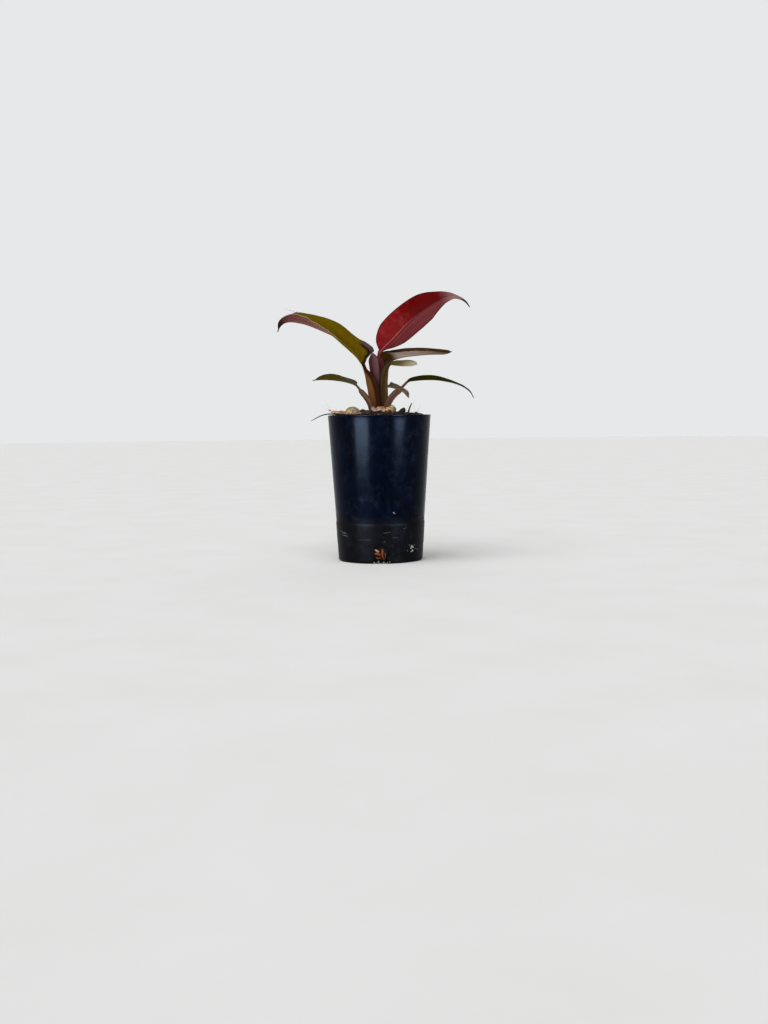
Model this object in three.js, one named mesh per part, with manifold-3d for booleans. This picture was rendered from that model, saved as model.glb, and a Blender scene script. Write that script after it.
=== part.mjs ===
// Potted sun red philodendron: a young self-heading plant in its nursery pot.
// Millimetres, +Z up, origin at the centre of the pot's underside. The red leaf leans to +X,
// and the plant's front looks along -Y.

import * as THREE from 'three';
import { mergeVertices } from 'three/addons/utils/BufferGeometryUtils.js';
import Module from 'manifold-3d';

const wasm = await Module();
wasm.setup();

// Driving dimensions of the pot

const POT = {
  height: 112,
  rimRadius: 40.2,
  rimHeight: 3.4,
  topRadius: 39.5,
  stepHeight: 30,
  stepRadius: 34.1,
  stepProud: 0.3,
  footRadius: 32.9,
  footRound: 2,
  wall: 0.9,
  floor: 1.4,
  sides: 60,
};
const SLOT = { count: 4, width: 11.2, height: 13.2, depth: 9, corner: 1.6 };

// Driving dimensions of the plant and its mix

const GAP = 0.3;
const BLADE_HALF = 0.32;
const MIX = { edge: 110.4, crest: 114.2, sides: 36, rings: 7, bits: 26 };
const HUSK = { count: 11, from: 178, to: 236, radius: 35, length: 13, width: 3.6 };
const SCALE = { x: -18.5, y: -13, length: 6, width: 4.6, rise: 4.6 };
const CROWN = {
  x: 1.5,
  y: -0.6,
  radius: 8.2,
  bottom: 96,
  collar: 115,
  top: 118.4,
  lumps: [
    { at: [7.6, -5.2, 115.4], size: [4.6, 3.4, 3.3] },
    { at: [0.6, -6.2, 115.2], size: [3.8, 2.8, 3.8] },
  ],
};
const TWIG = { path: [[20.6, -8, 110], [21.2, -8.2, 115.5], [23.4, -8.6, 122.6]], radius: 0.65 };

const COLOURS = {
  pot: 0x12151f,
  mix: 0x3a281c,
  crown: 0xb9803c,
  red: 0x9c1226,
  olive: 0x6a6a1c,
  bronze: 0x75625a,
  pale: 0xaab288,
  green: 0x39421c,
  grey: 0x6b7560,
  sheath: 0x6e4a4c,
  husk: 0xc9a184,
  scale: 0x8e8a4a,
  twig: 0x5a4334,
  grass: 0x4b5a34,
};

// Where a leaf's section has its points, as shares of its half width.
const BROAD = [-1, -0.72, -0.42, -0.13, 0, 0.13, 0.42, 0.72, 1];
const NARROW = [-1, -0.58, -0.16, 0, 0.16, 0.58, 1];

// Each leaf grows from the crown as one piece. Its stalk points run from the foot to the blade,
// its rib points from there to the tip. "bearing" is the compass direction, in degrees from +X,
// in which the leaf's back faces; "roll" turns the leaf about its own line, in degrees, from
// the foot (place -1) past the blade's base (0) to the tip (1). "folds" are the angles by
// which the left and right halves of the blade rise from flat.

const LEAVES = [
  {
    name: 'leaf_red_young',
    colour: COLOURS.red,
    bearing: 16,
    stalk: [[1.0, 1.5, 113.5], [1.2, 1.7, 128], [1.4, 1.3, 146], [2.5, 0.8, 160]],
    rib: [[7.6, 2.6, 166.8], [14.6, 5.5, 176.6], [23.8, 8.5, 185.4], [36.2, 12, 192.6],
      [48, 15, 198.4], [58, 17, 201.4], [65.8, 18, 200.4], [71.6, 19, 195.4]],
    halfWidth: 13.9,
    widest: 0.4,
    taper: 1.5,
    base: 0.14,
    shoulder: [1.8, 1.2],
    roll: [[-1, -62], [0, -64], [0.6, -62], [1, -74]],
    folds: [[0, 26, 12], [0.6, 26, 12], [1, 24, 24]],
    sheath: { halfWidth: 4.2, depth: 2.4, until: 0.92 },
    thick: 2.3,
    wave: 0.3,
    columns: BROAD,
    stations: 20,
  },
  {
    name: 'cataphyll',
    colour: COLOURS.sheath,
    bearing: 258,
    stalk: [[-0.6, -1.2, 113.5], [-1.4, -2.0, 130], [-3.6, -2.9, 146], [-5.3, -2.9, 159]],
    rib: [],
    roll: [[-1, 0]],
    sheath: { halfWidth: 4.3, depth: 2.4, until: 2 },
    thick: 1.0,
    columns: NARROW,
  },
  {
    name: 'leaf_bronze_right',
    colour: COLOURS.bronze,
    bearing: -17,
    stalk: [[3.6, -2.2, 113.5], [3.4, -2.8, 128], [4.4, -2.6, 140], [6.2, -2.0, 149],
      [8.8, -1.4, 153.4]],
    rib: [[12.4, -2.0, 154.8], [19, -4, 155.8], [27, -7, 156.9], [36, -9.2, 157.4],
      [44.1, -11, 157.6], [51, -13, 157.9], [55.6, -14, 159.3]],
    halfWidth: 8.6,
    widest: 0.34,
    taper: 1.3,
    base: 0.72,
    shoulder: [4, 4.6],
    roll: [[-1, 44], [-0.4, 30], [0, 0]],
    folds: [[0, 50, 44], [0.6, 46, 38], [1, 40, 40]],
    sheath: { halfWidth: 3.9, depth: 3, until: 0.96 },
    thick: 2.4,
    wave: 0.2,
    columns: BROAD,
    stations: 14,
  },
  {
    name: 'leaf_olive_left',
    colour: COLOURS.olive,
    bearing: 184,
    stalk: [[-2.6, -1.8, 113.5], [-4.4, -2.6, 128.5], [-6.6, -2.4, 138.5], [-9.8, -1.6, 146.4],
      [-12.6, -0.8, 152.8]],
    rib: [[-19, 0, 158.8], [-27.6, 0, 166], [-36.4, 0, 173], [-47.9, 0, 178.2],
      [-58, 0, 181.4], [-67.8, 0, 182.4], [-74.2, 0, 180.2], [-78.4, 0, 175.6]],
    halfWidth: 13,
    widest: 0.4,
    taper: 0.95,
    base: 0.86,
    shoulder: [1, 4.5],
    roll: [[-1, -40], [-0.35, -30], [0, 0]],
    folds: [[0, 6, 74], [0.42, 10, 78], [0.8, 62, 76], [1, 58, 62]],
    sheath: { halfWidth: 5.8, depth: 3.4, until: 0.84 },
    thick: 1.9,
    wave: 0.3,
    columns: BROAD,
    stations: 20,
  },
  {
    name: 'leaf_pale_back',
    colour: COLOURS.pale,
    bearing: 58,
    stalk: [[3.6, 4.6, 113.5], [4.7, 6, 132], [5.8, 7.6, 144], [7.6, 10, 149.6]],
    rib: [[12, 15.5, 151], [18, 24, 151.6], [24, 34, 151.4], [28.6, 44, 150]],
    halfWidth: 7.6,
    widest: 0.5,
    taper: 1.2,
    base: 0.3,
    shoulder: [1.5, 1.5],
    roll: [[-1, 0]],
    folds: [[0, 34, 34], [1, 30, 30]],
    sheath: { halfWidth: 2.6, depth: 2.0, until: 0.5 },
    thick: 1.6,
    wave: 0.2,
    columns: NARROW,
    stations: 10,
  },
  {
    name: 'leaf_green_low_right',
    colour: COLOURS.green,
    bearing: -8,
    stalk: [[5.4, -3.8, 113.5], [6.8, -4.2, 120.7], [10.4, -4.0, 127.4], [15.2, -3.8, 131.8],
      [22.8, -3.2, 138.2]],
    rib: [[30, -3.8, 139], [38, -5, 138.9], [45.6, -6, 138.1], [53, -7.5, 136.6],
      [60, -8.5, 134.4], [66, -9.3, 131.2], [70.3, -10, 127.6], [72.4, -10, 124.1]],
    halfWidth: 6.6,
    widest: 0.4,
    taper: 1.2,
    base: 0.22,
    shoulder: [1.4, 1.4],
    roll: [[-1, 60], [-0.4, 50], [0, 0]],
    folds: [[0, 36, 34], [0.7, 34, 32], [1, 34, 34]],
    sheath: { halfWidth: 2.7, depth: 1.6, until: 0.68 },
    thick: 1.3,
    wave: 0.2,
    columns: NARROW,
    stations: 14,
  },
  {
    name: 'leaf_green_low_left',
    colour: COLOURS.green,
    bearing: 187,
    stalk: [[-6.0, -2.2, 113.5], [-7.9, -2.5, 120.4], [-11.3, -2.7, 125.8], [-14.8, -2.9, 130.2],
      [-19.0, -3, 135.4]],
    rib: [[-22.9, -3.7, 137.3], [-27.6, -4.3, 138.5], [-32.2, -5, 139.1], [-37.4, -5.6, 139.4],
      [-43.6, -6.3, 139.3], [-51, -7, 138.6]],
    halfWidth: 5.8,
    widest: 0.46,
    taper: 1.1,
    base: 0.22,
    shoulder: [1.2, 1.2],
    roll: [[-1, -60], [-0.4, -50], [0, 0]],
    folds: [[0, 44, 44], [1, 40, 40]],
    sheath: { halfWidth: 1.9, depth: 1.2, until: 0.62 },
    thick: 1.2,
    wave: 0.2,
    columns: NARROW,
    stations: 12,
  },
  {
    name: 'leaf_small_back',
    colour: COLOURS.grey,
    bearing: 40,
    stalk: [[6.8, 4.4, 113.5], [6.8, 7, 124], [6.6, 10, 131], [8.0, 13, 134.6]],
    rib: [[11.4, 15.6, 134.9], [15.6, 18.4, 133.2], [20.2, 21, 130], [23.8, 23, 125.6]],
    halfWidth: 4.6,
    widest: 0.4,
    taper: 1.2,
    base: 0.25,
    shoulder: [0.8, 0.8],
    roll: [[-1, 0]],
    folds: [[0, 36, 36], [1, 30, 30]],
    sheath: { halfWidth: 1.9, depth: 1.2, until: 0.5 },
    thick: 1.0,
    wave: 0.1,
    columns: NARROW,
    stations: 9,
  },
];

// A dry blade of grass that lies over the rim at the left.
const GRASS = {
  bearing: 205,
  stalk: [[-31, -11.5, 111.6], [-33, -12.6, 112.9], [-35, -13.6, 113.1]],
  rib: [[-38.4, -15.0, 113.1], [-42, -16.2, 112.5], [-46, -17.4, 110.9], [-51.5, -19, 108]],
  halfWidth: 1.5,
  widest: 0.3,
  taper: 1,
  base: 0.5,
  shoulder: [0, 0],
  roll: [[-1, 0]],
  folds: [[0, 20, 20], [1, 20, 20]],
  sheath: { halfWidth: 0.9, depth: 0.6, until: 0.1 },
  thick: 0.9,
  wave: 0,
  columns: NARROW,
  stations: 8,
};

// Small helpers

// The same draw every time the part is built.
function seededRandom(seed) {
  let state = seed;
  return () => {
    state = (state * 1664525 + 1013904223) % 4294967296;
    return state / 4294967296;
  };
}

// Reads a list of [place, value, value, ...] keys at a place between them.
function track(keys, place) {
  let last = keys[0];
  for (const key of keys) {
    if (key[0] >= place) {
      const share = key[0] > last[0] ? (place - last[0]) / (key[0] - last[0]) : 0;
      const eased = share * share * (3 - 2 * share);
      return key.slice(1).map((value, i) => last[i + 1] + (value - last[i + 1]) * eased);
    }
    last = key;
  }
  return last.slice(1);
}

function smooth(from, to, value) {
  return THREE.MathUtils.smoothstep(value, from, to);
}

// Solids and their unions and cuts

function toSolid(geometry) {
  const bare = geometry.clone();
  bare.deleteAttribute('normal');
  bare.deleteAttribute('uv');
  const merged = mergeVertices(bare, 1e-4);
  return new wasm.Manifold(new wasm.Mesh({
    numProp: 3,
    vertProperties: new Float32Array(merged.attributes.position.array),
    triVerts: new Uint32Array(merged.index.array),
  }));
}

// The largest body of a solid: thin slivers left by a cut are dropped.
function largestBody(solid) {
  const bodies = solid.decompose();
  bodies.sort((a, b) => b.volume() - a.volume());
  return bodies[0];
}

function toGeometry(solid) {
  const mesh = solid.getMesh();
  const geometry = new THREE.BufferGeometry();
  geometry.setAttribute('position', new THREE.BufferAttribute(mesh.vertProperties, 3));
  geometry.setIndex(new THREE.BufferAttribute(mesh.triVerts, 1));
  geometry.computeVertexNormals();
  return geometry;
}

function placed(geometry, position, rotation = [0, 0, 0], scale = [1, 1, 1]) {
  const matrix = new THREE.Matrix4().compose(
    new THREE.Vector3(...position),
    new THREE.Quaternion().setFromEuler(new THREE.Euler(...rotation)),
    new THREE.Vector3(...scale),
  );
  return geometry.applyMatrix4(matrix);
}

function namedMesh(name, geometry, colour, roughness) {
  const material = new THREE.MeshStandardMaterial({ color: colour, roughness, metalness: 0 });
  const mesh = new THREE.Mesh(geometry, material);
  mesh.name = name;
  return mesh;
}

// A closed body through rings of points. The first half of each ring is its lower face and the
// second half its upper face, and both faces are split into triangles alike.
function loft(rings) {
  const count = rings[0].length;
  const half = count / 2;
  const positions = rings.flat().flatMap((point) => point.toArray());
  const index = [];
  for (let r = 0; r + 1 < rings.length; r += 1) {
    for (let j = 0; j < count; j += 1) {
      const a = r * count + j;
      const b = r * count + ((j + 1) % count);
      const c = b + count;
      const d = a + count;
      if (j < half) index.push(a, c, b, a, d, c);
      else index.push(a, d, b, b, d, c);
    }
  }
  const end = (rings.length - 1) * count;
  for (let j = 0; j + 1 < half; j += 1) {
    const k = count - 1 - j;
    index.push(j, k - 1, k, j, j + 1, k - 1);
    index.push(end + j, end + k - 1, end + j + 1, end + j, end + k, end + k - 1);
  }
  const geometry = new THREE.BufferGeometry();
  geometry.setAttribute('position', new THREE.Float32BufferAttribute(positions, 3));
  geometry.setIndex(index);
  return geometry;
}

// Leaves

// Half width of a blade at a place from its base (0) to its tip (1), as a share of the widest.
function outline(leaf, place) {
  if (place < leaf.widest) {
    const rise = Math.sqrt(1 - (1 - place / leaf.widest) ** 2);
    return leaf.base + (1 - leaf.base) * rise;
  }
  return Math.cos((Math.PI / 2) * (place - leaf.widest) / (1 - leaf.widest)) ** leaf.taper;
}

// The section of a leaf's stalk: a thin crescent where it sheathes the stem, round above.
function stalkSection(leaf, share, grow) {
  const sheath = leaf.sheath;
  const open = 1 - smooth(sheath.until - 0.16, sheath.until, share);
  const hood = leaf.rib.length ? 1 : Math.sqrt(1 - Math.max(0, (share - 0.82) / 0.185) ** 2);
  const round = leaf.thick / 2;
  const width = THREE.MathUtils.lerp(round, sheath.halfWidth * hood, open) + grow;
  const under = THREE.MathUtils.lerp(round, sheath.depth, open) - BLADE_HALF;
  const over = THREE.MathUtils.lerp(round, leaf.thick - sheath.depth, open) - BLADE_HALF;
  const edge = BLADE_HALF + grow;
  const lower = leaf.columns.map((x) => [width * x, -under * Math.sqrt(1 - x * x) - edge, 0]);
  const upper = leaf.columns.map((x) => [width * x, over * Math.sqrt(1 - x * x) + edge, 0]);
  return lower.concat(upper.reverse());
}

// The section of a leaf's blade: two halves folded up from the rib, with the rib proud below.
function bladeSection(leaf, place, grow) {
  const [leftFold, rightFold] = track(leaf.folds, place);
  const width = Math.max(leaf.halfWidth * outline(leaf, place), 0.45) + grow;
  const back = Math.max(0, 1 - place / 0.3) ** 2;
  const rib = (leaf.thick / 2) * Math.max(0, 1 - place * 1.15);
  const spread = smooth(0.8, 4, width);
  const lower = [];
  const upper = [];
  for (const x of leaf.columns) {
    const reach = Math.abs(x);
    const side = Math.sign(x);
    const fold = spread * THREE.MathUtils.degToRad(x < 0 ? leftFold : rightFold);
    const rise = fold * (1.12 - 0.3 * reach);
    const wave = leaf.wave * reach * reach * Math.sin(17 * place + side);
    const across = width * x * Math.cos(rise);
    const up = width * reach * Math.sin(rise) + wave;
    const lean = reach < 0.05 ? 0 : fold;
    const thin = BLADE_HALF + grow;
    const below = thin + rib * Math.max(0, 1 - reach / 0.3);
    const dip = back * leaf.shoulder[x < 0 ? 0 : 1] * reach * reach;
    lower.push([across + side * Math.sin(lean) * below, up - Math.cos(lean) * below, dip]);
    upper.push([across - side * Math.sin(lean) * thin, up + Math.cos(lean) * thin, dip]);
  }
  return lower.concat(upper.reverse());
}

// One leaf as a closed body, from its foot to its tip. "grow" swells it evenly, so that a
// neighbour cut by the swollen leaf keeps clear of it.
function leafSolid(leaf, grow = 0) {
  const points = leaf.stalk.concat(leaf.rib).map((p) => new THREE.Vector3(...p));
  const curve = new THREE.CatmullRomCurve3(points, false, 'centripetal');
  const perSpan = 24;
  const lengths = curve.getLengths((points.length - 1) * perSpan);
  const joint = lengths[(leaf.stalk.length - 1) * perSpan] / lengths[lengths.length - 1];
  const bearing = THREE.MathUtils.degToRad(leaf.bearing);
  const level = new THREE.Vector3(Math.sin(bearing), -Math.cos(bearing), 0);

  function ring(along, rollDegrees, section) {
    const centre = curve.getPointAt(along);
    const forward = curve.getTangentAt(along);
    const side = level.clone().addScaledVector(forward, -level.dot(forward)).normalize();
    const face = side.clone().cross(forward);
    const roll = THREE.MathUtils.degToRad(rollDegrees);
    const turnedSide = side.clone().multiplyScalar(Math.cos(roll))
      .addScaledVector(face, Math.sin(roll));
    const turnedFace = face.clone().multiplyScalar(Math.cos(roll))
      .addScaledVector(side, -Math.sin(roll));
    return section.map(([across, up, dip]) => centre.clone()
      .addScaledVector(turnedSide, across)
      .addScaledVector(turnedFace, up)
      .addScaledVector(forward, -dip));
  }

  const rings = [];
  const stalkStations = 9;
  const stalkEnd = leaf.rib.length ? 0.97 : 1;
  for (let i = 0; i < stalkStations; i += 1) {
    const share = (stalkEnd * i) / (stalkStations - 1);
    const [turn] = track(leaf.roll, share - 1);
    rings.push(ring(joint * share, turn, stalkSection(leaf, share, grow)));
  }
  for (let i = 0; leaf.rib.length && i <= leaf.stations; i += 1) {
    const even = i / leaf.stations;
    const place = 0.5 * even + 0.25 * (1 - Math.cos(Math.PI * even));
    const [turn] = track(leaf.roll, place);
    rings.push(ring(joint + (1 - joint) * place, turn, bladeSection(leaf, place, grow)));
  }
  return toSolid(loft(rings));
}

// Nursery pot: one thin moulded wall with a proud rim, a slight step and drainage slots

function potOutline() {
  const rimFoot = POT.height - POT.rimHeight;
  const foot = POT.footRound;
  const corner = [];
  for (let i = 0; i <= 3; i += 1) {
    const angle = (Math.PI / 2) * (i / 3);
    corner.push([
      POT.footRadius - foot + foot * Math.sin(angle),
      foot - foot * Math.cos(angle),
    ]);
  }
  const outside = corner.concat([
    [POT.stepRadius + POT.stepProud, POT.stepHeight],
    [POT.stepRadius, POT.stepHeight + 0.5],
    [POT.topRadius, rimFoot - 0.4],
    [POT.rimRadius, rimFoot + 0.3],
    [POT.rimRadius, POT.height - 0.5],
    [POT.rimRadius - 0.5, POT.height],
  ]);
  const inside = [
    [POT.topRadius - POT.wall + 0.3, POT.height],
    [POT.topRadius - POT.wall, POT.height - 0.6],
    [POT.stepRadius - POT.wall, POT.stepHeight],
    [POT.footRadius - POT.wall, POT.floor + 2],
    [POT.footRadius - POT.wall - 1.6, POT.floor],
  ];
  return [[0, 0]].concat(outside, inside, [[0, POT.floor]]);
}

function turned(outlinePoints, sides) {
  const profile = outlinePoints.map(([r, z]) => new THREE.Vector2(r, z));
  return new THREE.LatheGeometry(profile, sides).rotateX(Math.PI / 2);
}

// The room that the rim and the wall below it take, with the clearance round them.
function rimRoom() {
  const inner = mixRadius(MIX.edge);
  const outer = POT.rimRadius + GAP;
  const top = POT.height + GAP;
  return toSolid(turned([[inner, 60], [outer, 60], [outer, top], [inner, top], [inner, 60]],
    POT.sides));
}

function slotCutter(angle) {
  const half = SLOT.width / 2;
  const shape = new THREE.Shape();
  shape.moveTo(-half, -1);
  shape.lineTo(half, -1);
  shape.lineTo(half - 0.6, SLOT.height - SLOT.corner);
  shape.quadraticCurveTo(half - 0.6, SLOT.height, half - 0.6 - SLOT.corner, SLOT.height);
  shape.lineTo(-half + 0.6 + SLOT.corner, SLOT.height);
  shape.quadraticCurveTo(-half + 0.6, SLOT.height, -half + 0.6, SLOT.height - SLOT.corner);
  const block = new THREE.ExtrudeGeometry(shape, {
    depth: SLOT.depth + 3, bevelEnabled: false, curveSegments: 3,
  });
  block.rotateX(Math.PI / 2);
  block.translate(0, SLOT.depth - POT.footRadius, 0);
  block.rotateZ(angle);
  return toSolid(block);
}

function nurseryPot() {
  let pot = toSolid(turned(potOutline(), POT.sides));
  for (let i = 0; i < SLOT.count; i += 1) {
    pot = pot.subtract(slotCutter((2 * Math.PI * i) / SLOT.count));
  }
  return pot;
}

// Potting mix: a plug with a mounded, lumpy top, and bark bits fused to it

function mixTop(x, y) {
  const reach = Math.min(1, Math.hypot(x, y) / mixRadius(MIX.edge));
  const mound = MIX.edge + (MIX.crest - MIX.edge) * (1 - reach ** 2.4);
  const lumps = 0.55 * Math.sin(0.42 * x + 1.1) * Math.cos(0.37 * y)
    + 0.3 * Math.sin(0.95 * x - 0.7 * y + 2);
  return mound + lumps * (1 - reach ** 6);
}

// Radius of the mix at a height: the inside of the pot's wall, less the clearance.
function mixRadius(height) {
  const wall = POT.wall + GAP;
  if (height < POT.stepHeight) {
    const share = (height - POT.floor) / (POT.stepHeight - POT.floor);
    return THREE.MathUtils.lerp(POT.footRadius, POT.stepRadius, share) - wall;
  }
  const share = (height - POT.stepHeight) / (POT.height - POT.rimHeight - POT.stepHeight);
  return THREE.MathUtils.lerp(POT.stepRadius, POT.topRadius, Math.min(1, share)) - wall;
}

function mixPlug(grow) {
  const bottom = POT.floor + GAP;
  const profile = [
    [0, bottom],
    [mixRadius(bottom) - 2.2, bottom],
    [mixRadius(POT.floor + 3) - 0.2, POT.floor + 3],
    [mixRadius(POT.stepHeight) - 0.2, POT.stepHeight],
  ];
  for (let i = 0; i <= MIX.rings; i += 1) {
    profile.push([(mixRadius(MIX.edge) - 0.1) * (1 - i / MIX.rings), MIX.edge]);
  }
  const plug = turned(profile, MIX.sides);
  const position = plug.attributes.position;
  for (let i = 0; i < position.count; i += 1) {
    if (position.getZ(i) > MIX.edge - 0.01) {
      position.setZ(i, mixTop(position.getX(i), position.getY(i)) + grow);
    }
  }
  return toSolid(plug);
}

// One bark bit: a squashed, turned nugget, half sunk in the surface at (x, y).
function barkBit(x, y, size, grow, random) {
  const nugget = new THREE.IcosahedronGeometry(size + 1.6 * grow, 0);
  const turn = [random() * 0.7, random() * 0.7, random() * Math.PI];
  const squash = [1.25, 0.8, 0.62];
  return toSolid(placed(nugget, [x, y, mixTop(x, y) + size * 0.12], turn, squash));
}

function pottingMix(grow = 0) {
  const random = seededRandom(7);
  let mix = mixPlug(grow);
  for (let i = 0; i < MIX.bits; i += 1) {
    const angle = random() * 2 * Math.PI;
    const reach = 12 + 22.5 * Math.sqrt(random());
    const size = 1.8 + 1.8 * random();
    const x = reach * Math.cos(angle);
    const y = reach * Math.sin(angle);
    mix = mix.add(barkBit(x, y, size, grow, random));
  }
  return mix;
}

// Husk chips: pointed flakes of coir husk that lie over each other at the left

function huskFlake(length, width, thickness) {
  const flake = new THREE.Shape();
  flake.moveTo(-length / 2, 0);
  flake.quadraticCurveTo(0, -width * 0.9, length / 2, -width * 0.1);
  flake.quadraticCurveTo(0, width * 1.1, -length / 2, 0);
  return new THREE.ExtrudeGeometry(flake, {
    depth: thickness, bevelEnabled: false, curveSegments: 3,
  });
}

function huskChips() {
  const random = seededRandom(21);
  let chips = null;
  for (let i = 0; i < HUSK.count; i += 1) {
    const share = i / (HUSK.count - 1);
    const angle = THREE.MathUtils.degToRad(THREE.MathUtils.lerp(HUSK.from, HUSK.to, share));
    const reach = HUSK.radius - 4 * random();
    const x = reach * Math.cos(angle);
    const y = reach * Math.sin(angle);
    const turn = [0.5 * random() - 0.25, 0.4 * random() - 0.2, random() * Math.PI];
    const flake = huskFlake(HUSK.length, HUSK.width, 1.1);
    const chip = toSolid(placed(flake, [x, y, mixTop(x, y) + 0.9 + random()], turn));
    chips = chips ? chips.add(chip) : chip;
  }
  return chips;
}

// A curled, olive-green scale leaf that has dropped on the mix beside the stem

function fallenScale(grow = 0) {
  const dome = new THREE.SphereGeometry(1, 14, 9);
  const centre = [SCALE.x, SCALE.y, mixTop(SCALE.x, SCALE.y) + 0.4];
  const size = [SCALE.length, SCALE.width, SCALE.rise].map((v) => v + grow);
  return toSolid(placed(dome, centre, [0, 0.1, 0.3], size));
}

// Stem crown: the short swollen stem that every leaf grows from

function stemCrown(grow = 0) {
  const r = CROWN.radius + grow;
  const profile = [
    [0, CROWN.bottom - grow],
    [r * 0.45, CROWN.bottom - grow],
    [r * 0.8, CROWN.bottom + 8],
    [r * 0.98, CROWN.collar - 3],
    [r, CROWN.collar],
    [r * 0.86, CROWN.top - 1],
    [r * 0.55, CROWN.top + 0.4 + grow],
    [0, CROWN.top + 0.8 + grow],
  ];
  let crown = toSolid(placed(turned(profile, 20), [CROWN.x, CROWN.y, 0]));
  for (const lump of CROWN.lumps) {
    const ball = new THREE.SphereGeometry(1, 12, 7);
    crown = crown.add(toSolid(placed(ball, lump.at, [0, 0, 0], lump.size.map((v) => v + grow))));
  }
  return crown;
}

// Twig: a thin brown stick that stands in a plain hole in the mix

function twig(grow = 0) {
  const path = new THREE.CatmullRomCurve3(TWIG.path.map((p) => new THREE.Vector3(...p)));
  const section = new THREE.Shape();
  section.absarc(0, 0, TWIG.radius + grow, 0, 2 * Math.PI, false);
  return toSolid(new THREE.ExtrudeGeometry(section, {
    steps: 5, curveSegments: 4, extrudePath: path, bevelEnabled: false,
  }));
}

// Assembly: each piece keeps the clearance to those that stand before it

const group = new THREE.Group();

function addPiece(name, solid, colour, roughness) {
  group.add(namedMesh(name, toGeometry(solid), colour, roughness));
}

addPiece('nursery_pot', nurseryPot(), COLOURS.pot, 0.3);

let leavesSwollen = leafSolid(LEAVES[0], GAP);
addPiece(LEAVES[0].name, leafSolid(LEAVES[0]), LEAVES[0].colour, 0.35);
for (const leaf of LEAVES.slice(1)) {
  const body = largestBody(leafSolid(leaf).subtract(leavesSwollen));
  addPiece(leaf.name, body, leaf.colour, 0.4);
  leavesSwollen = leavesSwollen.add(leafSolid(leaf, GAP));
}

const crown = largestBody(stemCrown().subtract(leavesSwollen));
addPiece('stem_crown', crown, COLOURS.crown, 0.6);
const plantSwollen = stemCrown(GAP).add(leavesSwollen);

const stick = twig();
addPiece('twig', stick, COLOURS.twig, 0.8);

const rim = rimRoom();
const mix = largestBody(pottingMix().subtract(plantSwollen).subtract(twig(GAP)).subtract(rim));
addPiece('potting_mix', mix, COLOURS.mix, 0.95);

const ground = pottingMix(GAP).add(rim);
const scale = largestBody(fallenScale().subtract(ground).subtract(plantSwollen));
addPiece('fallen_scale', scale, COLOURS.scale, 0.7);

const grass = largestBody(leafSolid(GRASS).subtract(ground));
addPiece('grass_blade', grass, COLOURS.grass, 0.7);

const laid = ground.add(fallenScale(GAP)).add(leafSolid(GRASS, GAP));
const husk = largestBody(huskChips().subtract(laid));
addPiece('husk_chips', husk, COLOURS.husk, 0.9);

export default group;
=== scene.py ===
# %% [markdown]
# A young sun red philodendron in its black nursery pot.
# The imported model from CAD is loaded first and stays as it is. Each of its plain solids is then
# replaced by a finer piece that keeps its form: leaves with veins and coloured faces, a moulded
# pot with dust on it, and a mix of bark, husk and roots. All sizes below are in millimetres, and
# the piece helper turns them into Blender's metres.

# %% Load the frame
import math
import random
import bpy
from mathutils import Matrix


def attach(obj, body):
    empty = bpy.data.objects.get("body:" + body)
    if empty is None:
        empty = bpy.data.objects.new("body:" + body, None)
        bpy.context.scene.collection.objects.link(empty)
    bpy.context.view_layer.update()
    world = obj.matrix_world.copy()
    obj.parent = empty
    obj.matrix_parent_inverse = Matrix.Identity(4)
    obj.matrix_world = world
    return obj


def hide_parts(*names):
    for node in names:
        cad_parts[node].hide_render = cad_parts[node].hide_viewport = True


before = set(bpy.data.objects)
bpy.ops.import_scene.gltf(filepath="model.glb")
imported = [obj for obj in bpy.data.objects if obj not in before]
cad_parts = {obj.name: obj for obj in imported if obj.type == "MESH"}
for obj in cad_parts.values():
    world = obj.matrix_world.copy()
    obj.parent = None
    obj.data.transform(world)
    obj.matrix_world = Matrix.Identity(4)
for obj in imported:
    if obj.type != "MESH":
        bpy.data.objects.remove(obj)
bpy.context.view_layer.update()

from types import SimpleNamespace

import bmesh
import bpy
import numpy as np
from mathutils import Matrix, Vector, noise

MM = 0.001


def put(name, data):
    """Adds an object that shows a mesh, a light or a camera."""
    made = bpy.data.objects.new(name, data)
    bpy.context.scene.collection.objects.link(made)
    return made


print("CAD nodes:", len(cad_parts))

# %% [markdown]
# The camera stands where the photographer stood: 930 mm in front of the plant, at the height of
# the pot's rim, tilted 4.4 degrees down and rolled 0.6 degrees. A focal length of 1200 pixels on
# a long side of 1024 is the same as 42.2 mm on a 36 mm sensor. A scene could also be framed by
# eye, but a camera fitted to the pot's ellipses lets every leaf be compared by pixel.

# %% Camera
LONG_SIDE = 1024
FOCAL_PIXELS = 1200
SENSOR = 36
STAND = dict(across=2.9, distance=930, height=108, tilt=4.38, roll=0.6)

camera_data = bpy.data.cameras.new("camera")
camera_data.sensor_width = SENSOR
camera_data.lens = SENSOR * FOCAL_PIXELS / LONG_SIDE
camera_data.clip_start = 0.01
camera_data.clip_end = 50
camera = put("camera", camera_data)
camera.matrix_world = (
    Matrix.Translation(Vector((STAND["across"], -STAND["distance"], STAND["height"])) * MM)
    @ Matrix.Rotation(math.radians(90 - STAND["tilt"]), 4, "X")
    @ Matrix.Rotation(math.radians(-STAND["roll"]), 4, "Z")
)
bpy.context.scene.camera = camera
print("Camera lens, mm:", round(camera_data.lens, 2))

# %% [markdown]
# A few helpers serve every finish. Colours are written as sRGB hex values, as a paint chart gives
# them, and one function turns them linear, which is what a shader works in. Another feeds a
# node's inputs with values or with what other nodes give, and a third adds one node with its
# settings and what feeds it. The last one ends most finishes, which need the same four things of
# their shader: a tone, a roughness, a gloss level and a relief.

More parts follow.
